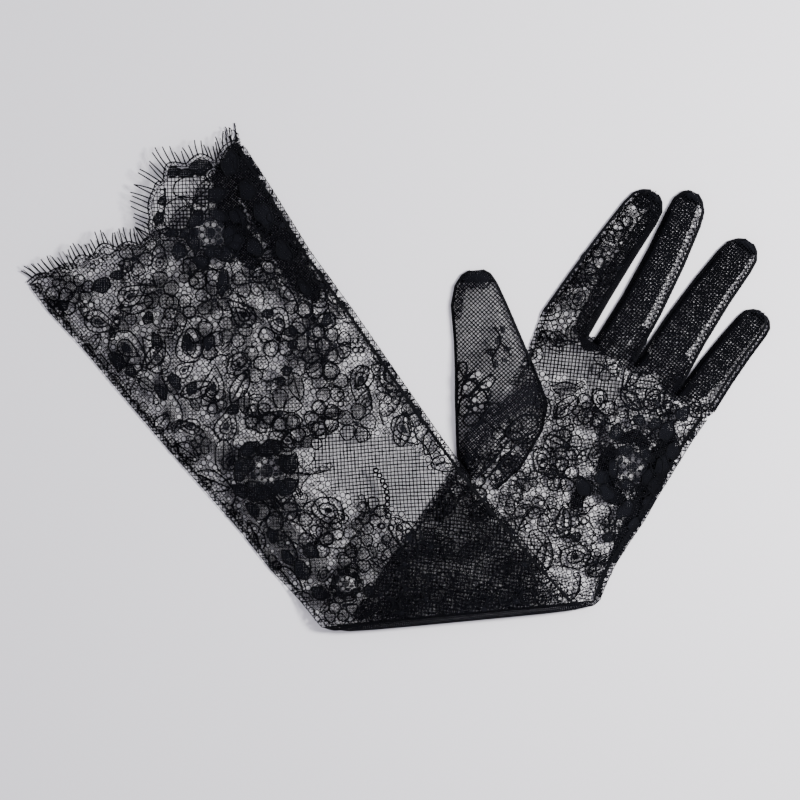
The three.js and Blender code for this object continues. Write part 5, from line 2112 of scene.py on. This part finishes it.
class LACEGLOVE_OT_thumb(bpy.types.Operator):
    """Make the lace of the thumb and its sewn seams"""

    bl_idname = "laceglove.thumb"
    bl_label = "Thumb Lace"

    def execute(self, context):
        lace = context.scene.lace_sizes
        upper = thumb_upper_pattern()
        under_radius = lace.thumb_radius * lace.under_share * THUMB_UNDER_SHARE
        dress_cloth("thumb_upper", THUMB_UPPER, upper, lace, lace.thumb_radius, "thumb")
        dress_cloth("thumb_under", THUMB_UNDER, thumb_under_pattern(upper), lace, under_radius, "thumb")
        bands = [band_along(THUMB_UPPER, path, half_width) for half_width, path in THUMB_BANDS]
        mesh_piece(band_mesh("thumb_fine_net", bands, THUMB_COLUMNS), "Fine thumb net", "thumb")
        lines = Threads()
        for side in ("left", "right"):
            for inset, thickness in THUMB_EDGE_LINES:
                add_seam(lines, THUMB_UPPER, THUMB.edge(side, inset), EDGE_LIFT, thickness)
        thread_piece("thumb_edges", lines, lace.outline_radius, 4, "Seam thread", "thumb")
        return {"FINISHED"}


class LACEGLOVE_OT_fourchettes(bpy.types.Operator):
    """Make the forked strips between the fingers"""

    bl_idname = "laceglove.fourchettes"
    bl_label = "Fourchettes"

    def execute(self, context):
        lace = context.scene.lace_sizes
        for k, (name, shapes) in enumerate(FORKS.items()):
            threads = Threads()
            for side in ("palm", "back"):
                for shape, (pitch, thickness) in zip(shapes, FORK_NETS[name]):
                    cloth = hand_cloth(side, shape, PARTINGS)
                    lay_net(threads, cloth, cloth.covers, pitch, FORK_TURN, FORK_SEED + k, 0.0, thickness)
            radius = lace.hand_radius * FORK_THREAD_SHARE
            node = "fourchette_" + name
            thread_piece(node + "_net", threads, radius, 3, "Fourchette thread", node)
        return {"FINISHED"}


class LACEGLOVE_OT_seams(bpy.types.Operator):
    """Make the overlocked side seams: their threads, round the fold too, and their slanted stitches"""

    bl_idname = "laceglove.seams"
    bl_label = "Side Seams"

    def execute(self, context):
        edges = context.scene.lace_edges
        lines = Threads()
        stitches = Threads()
        for panel, cloth in ((ARM, ARM_UPPER), (HAND, PALM_CLOTH), (FINGER_PANELS["index"], PALM_CLOTH),
                             (FINGER_PANELS["little"], PALM_CLOTH)):
            for side in seam_sides(panel):
                start = 1.0 if panel in FINGER_PANELS.values() else 0.0
                for inset, thickness in SEAM_LINES[side]:
                    add_seam(lines, cloth, panel.edge(side, inset, start), SEAM_LIFT, thickness)
                add_seam(stitches, cloth, panel.edge(side, LIP_WIDTH - 0.1, start), STITCH_LIFT)
        width = np.linalg.norm(np.array(FOLD_BEFORE[:2]) - FOLD_BEFORE[2:])
        turn = np.linspace(0, 1, 12)
        for w in (SEAM_INSET, LIP_WIDTH, width - LIP_WIDTH, width - SEAM_INSET):
            lines.add_line(fold_points(turn, np.full(len(turn), w), True))
        thread_piece("side_seams", lines, edges.seam_radius, 4, "Seam thread", "trank")
        stitch_piece("seam_stitches", stitches, edges.seam_radius * STITCH_SHARE, edges.stitch_length,
                     edges.stitch_spacing, "Seam thread", "trank")
        return {"FINISHED"}


def around_end(panel, inset, start):
    """A plan line up a panel's left edge and back down its right one."""
    return np.concatenate([panel.edge("left", inset, start), panel.edge("right", inset, start)[::-1]])


def seam_sides(panel):
    """Which edges of a panel carry a side seam."""
    if panel is FINGER_PANELS["index"]:
        return ("left",)
    if panel is FINGER_PANELS["little"]:
        return ("right",)
    return ("left", "right")


class LACEGLOVE_OT_finger_edges(bpy.types.Operator):
    """Make the dark sewn edges and the closed tips of the fingers"""

    bl_idname = "laceglove.finger_edges"
    bl_label = "Finger Edges"

    def execute(self, context):
        lace = context.scene.lace_sizes
        lines = Threads()
        tips = []
        above = Cloth(HAND_PANELS, "palm", place_hand, True)
        for panel in FINGER_PANELS.values():
            for inset, thickness in EDGE_LINES:
                add_seam(lines, above, around_end(panel, inset, 1.0), EDGE_LIFT, thickness)
            for side, lip in zip(("left", "right"), panel.lips[0]):
                for inset in WALL_LINES:
                    add_seam(lines, above, panel.edge(side, lip + inset, *WALL_ROWS), 0, WALL_SHARE)
            tips.append(around_end(panel, TIP_INSET, panel.numbers[-1] - TIP_ROWS))
        thread_piece("finger_edges", lines, lace.outline_radius, 4, "Seam thread", "trank")
        mesh_piece(slab_mesh("finger_tips", tips, above, TIP_THICKNESS), "Close work", "trank")
        return {"FINISHED"}


class LACEGLOVE_OT_hem(bpy.types.Operator):
    """Make the scalloped hem with its border thread, small holes and eyelash threads"""

    bl_idname = "laceglove.hem"
    bl_label = "Eyelash Hem"

    def execute(self, context):
        lace = context.scene.lace_sizes
        edges = context.scene.lace_edges
        band = Threads()
        borders = Threads()
        lashes = Threads()
        for k, (hem, side, share) in enumerate(HEMS):
            cloth = Cloth([ARM], side, place_arm, side == "back", kept=[hem_region(hem, HEM_EDGE)],
                          cut=[hem_region(hem, HEM_BAND)])
            lay_net(band, cloth, cloth.covers, HEM_PITCH, HEM_TURN, HEM_SEED + k)
            for inset, thickness in ((HEM_EDGE, 1.5), (HEM_BAND, 1.1)):
                draped = cloth.draped(plan_of_hem(hem_line(hem, inset)), BORDER_LIFT)
                borders.add_line(draped, thickness * share, False, ~np.isnan(draped[:, 2]))
            add_lashes(lashes, hem, cloth, edges.lash_pitch / MM, share, LASH_SEED + k)
        add_curls(lashes)
        thread_piece("hem_band", band, lace.arm_radius * HEM_SHARE, 3, "Net thread", "eyelash_fringe")
        thread_piece("hem_borders", borders, edges.seam_radius, 4, "Outline thread", "eyelash_fringe")
        thread_piece("eyelashes", lashes, edges.lash_radius, 4, "Eyelash thread", "eyelash_fringe")
        return {"FINISHED"}


def add_curls(threads):
    """Sets a few long curled threads at the hem's upper corner."""
    share = np.linspace(0, 1, CURL_POINTS)[:, None]
    for k in range(CURLS):
        root = CURLS_AT + [CURL_STEP * k, 0]
        level = ARM_UPPER.survey(root[None])[0][0]
        round_turn = share * CURL_TURN + k
        curl = np.concatenate([np.cos(round_turn), np.sin(round_turn)], axis=1) * (0.7 + 0.2 * k) * share
        line = root + heading(112 - 14 * k) * (6.2 - 0.5 * k) * share + curl
        threads.add_line(np.column_stack([line, level + (0.4 + 0.3 * k) * share]), CURL_SHARE)


def plan_of_hem(rows):
    """Plan points of a hem line's rows."""
    return np.array([mouth_point(along, out) for along, out in rows[:, :2]])


def add_lashes(threads, hem, cloth, pitch, thickness, seed):
    """Sets slightly bent, tapering threads along a hem."""
    dice = np.random.default_rng(seed)
    rows = hem_line(hem)
    plan = plan_of_hem(rows)
    height = cloth.survey(plan)[0]
    walked = walk(plan)
    spots = np.arange(pitch / 2, walked[-1], pitch)
    spots = spots + dice.uniform(-0.14, 0.14, len(spots)) * pitch
    share = np.linspace(LASH_ROOT, 1, LASH_POINTS)
    taper = thickness * np.interp(share, (LASH_ROOT, 1), (1.0, LASH_TIP_SHARE))
    for spot in spots:
        x, y, z = (np.interp(spot, walked, column) for column in (*plan.T, height))
        angle = np.interp(spot, walked, rows[:, 4]) + dice.normal(0, 3)
        reach = np.interp(spot, walked, rows[:, 5]) * dice.uniform(0.9, 1.14)
        if np.isnan(z):
            continue
        bend = dice.normal(0, 0.07) * reach
        along = heading(angle)
        aside = aside_of(along)
        line = [x, y] + share[:, None] * along * reach + (share ** 2)[:, None] * aside * bend
        fall = z + (LASH_REST - z) * 0.35 * np.clip(share, 0, 1) ** 2 + dice.uniform(-0.12, 0.12)
        threads.add_line(np.column_stack([line, fall]), taper)


class LACEGLOVE_OT_stage(bpy.types.Operator):
    """Make the pale floor, the soft light and the camera"""

    bl_idname = "laceglove.stage"
    bl_label = "Floor, Light and Camera"

    def execute(self, context):
        stage = context.scene.lace_stage
        build_floor(stage)
        build_light(stage)
        build_camera(stage)
        return {"FINISHED"}


def floor_finish(colour):
    """A plain pale table top with a faint drift of tone."""
    material, tree, position = new_material("Pale table")
    drift = group_node(tree, tone_drift_group(), position, {"Broad Scale": 3.0, "Fine Scale": 700.0})
    tone = mix_colours(tree, drift["Broad"], tuple(part * 0.98 for part in colour), colour)
    end_material(tree, tone, drift["Fine"], (0.55, 0.65), FLOOR_SHINE, {})
    return material


def build_floor(stage):
    """A wide flat floor."""
    mesh = bpy.data.meshes.new("floor")
    corners = [(-FLOOR_HALF, -FLOOR_HALF, 0), (FLOOR_HALF, -FLOOR_HALF, 0),
               (FLOOR_HALF, FLOOR_HALF, 0), (-FLOOR_HALF, FLOOR_HALF, 0)]
    mesh.from_pydata(corners, [], [(0, 1, 2, 3)])
    mesh.materials.append(floor_finish(tuple(stage.floor_colour)))
    link(bpy.data.objects.new("floor", mesh))


def build_light(stage):
    """A soft lamp from the upper right, and the even light of the room."""
    data = bpy.data.lights.new("soft_lamp", "AREA")
    data.shape = "DISK"
    data.size = LAMP_SIZE
    data.energy = stage.lamp_power
    data.color = LAMP_COLOUR
    lamp = link(bpy.data.objects.new("soft_lamp", data))
    lamp.location = LAMP_AT
    aim = Vector((0, 0, 0)) - lamp.location
    lamp.rotation_euler = aim.to_track_quat("-Z", "Y").to_euler()
    world = bpy.data.worlds.new("room")
    world.use_nodes = True
    background = world.node_tree.nodes["Background"]
    background.inputs["Color"].default_value = ROOM_COLOUR
    background.inputs["Strength"].default_value = stage.sky_strength
    bpy.context.scene.world = world


def build_camera(stage):
    """A camera looking straight down, as the photograph was taken."""
    data = bpy.data.cameras.new("camera")
    data.lens = LENS
    data.sensor_width = SENSOR
    data.clip_end = VIEW_END
    camera = link(bpy.data.objects.new("camera", data))
    camera.location = (VIEW_MIDDLE[0] * MM, VIEW_MIDDLE[1] * MM, stage.camera_height)
    bpy.context.scene.camera = camera


class LACEGLOVE_PT_panel(bpy.types.Panel):
    """Sizes, colours and the makers of every piece"""

    bl_idname = "LACEGLOVE_PT_panel"
    bl_label = "Lace Glove"
    bl_space_type = "VIEW_3D"
    bl_region_type = "UI"
    bl_category = "Lace Glove"

    def draw(self, context):
        """Lists the sizes and the operators."""
        layout = self.layout
        for label, name, _ in GROUPS:
            box = layout.box()
            box.label(text=label)
            group = getattr(context.scene, name)
            for prop in group.bl_rna.properties:
                if prop.identifier not in ("rna_type", "name"):
                    box.prop(group, prop.identifier)
        for operator in OPERATORS:
            layout.operator(operator.bl_idname)


GROUPS = (
    ("Net", "lace_sizes", LaceSizes),
    ("Seams and Hem", "lace_edges", LaceEdges),
    ("Colours", "lace_dyes", LaceDyes),
    ("Stage", "lace_stage", LaceStage),
)
OPERATORS = (
    LACEGLOVE_OT_arm,
    LACEGLOVE_OT_hand,
    LACEGLOVE_OT_bend,
    LACEGLOVE_OT_thumb,
    LACEGLOVE_OT_fourchettes,
    LACEGLOVE_OT_finger_edges,
    LACEGLOVE_OT_seams,
    LACEGLOVE_OT_hem,
    LACEGLOVE_OT_stage,
)


def register():
    """Registers the add-on's classes and settings."""
    for _, name, group in GROUPS:
        bpy.utils.register_class(group)
        setattr(bpy.types.Scene, name, bpy.props.PointerProperty(type=group))
    for operator in OPERATORS:
        bpy.utils.register_class(operator)
    bpy.utils.register_class(LACEGLOVE_PT_panel)


def unregister():
    """Removes the add-on's classes and settings."""
    bpy.utils.unregister_class(LACEGLOVE_PT_panel)
    for operator in reversed(OPERATORS):
        bpy.utils.unregister_class(operator)
    for _, name, group in reversed(GROUPS):
        delattr(bpy.types.Scene, name)
        bpy.utils.unregister_class(group)


def main():
    """Makes the whole scene."""
    register()
    bpy.ops.laceglove.arm()
    bpy.ops.laceglove.hand()
    bpy.ops.laceglove.bend()
    bpy.ops.laceglove.thumb()
    bpy.ops.laceglove.fourchettes()
    bpy.ops.laceglove.finger_edges()
    bpy.ops.laceglove.seams()
    bpy.ops.laceglove.hem()
    bpy.ops.laceglove.stage()


if __name__ == "__main__":
    main()
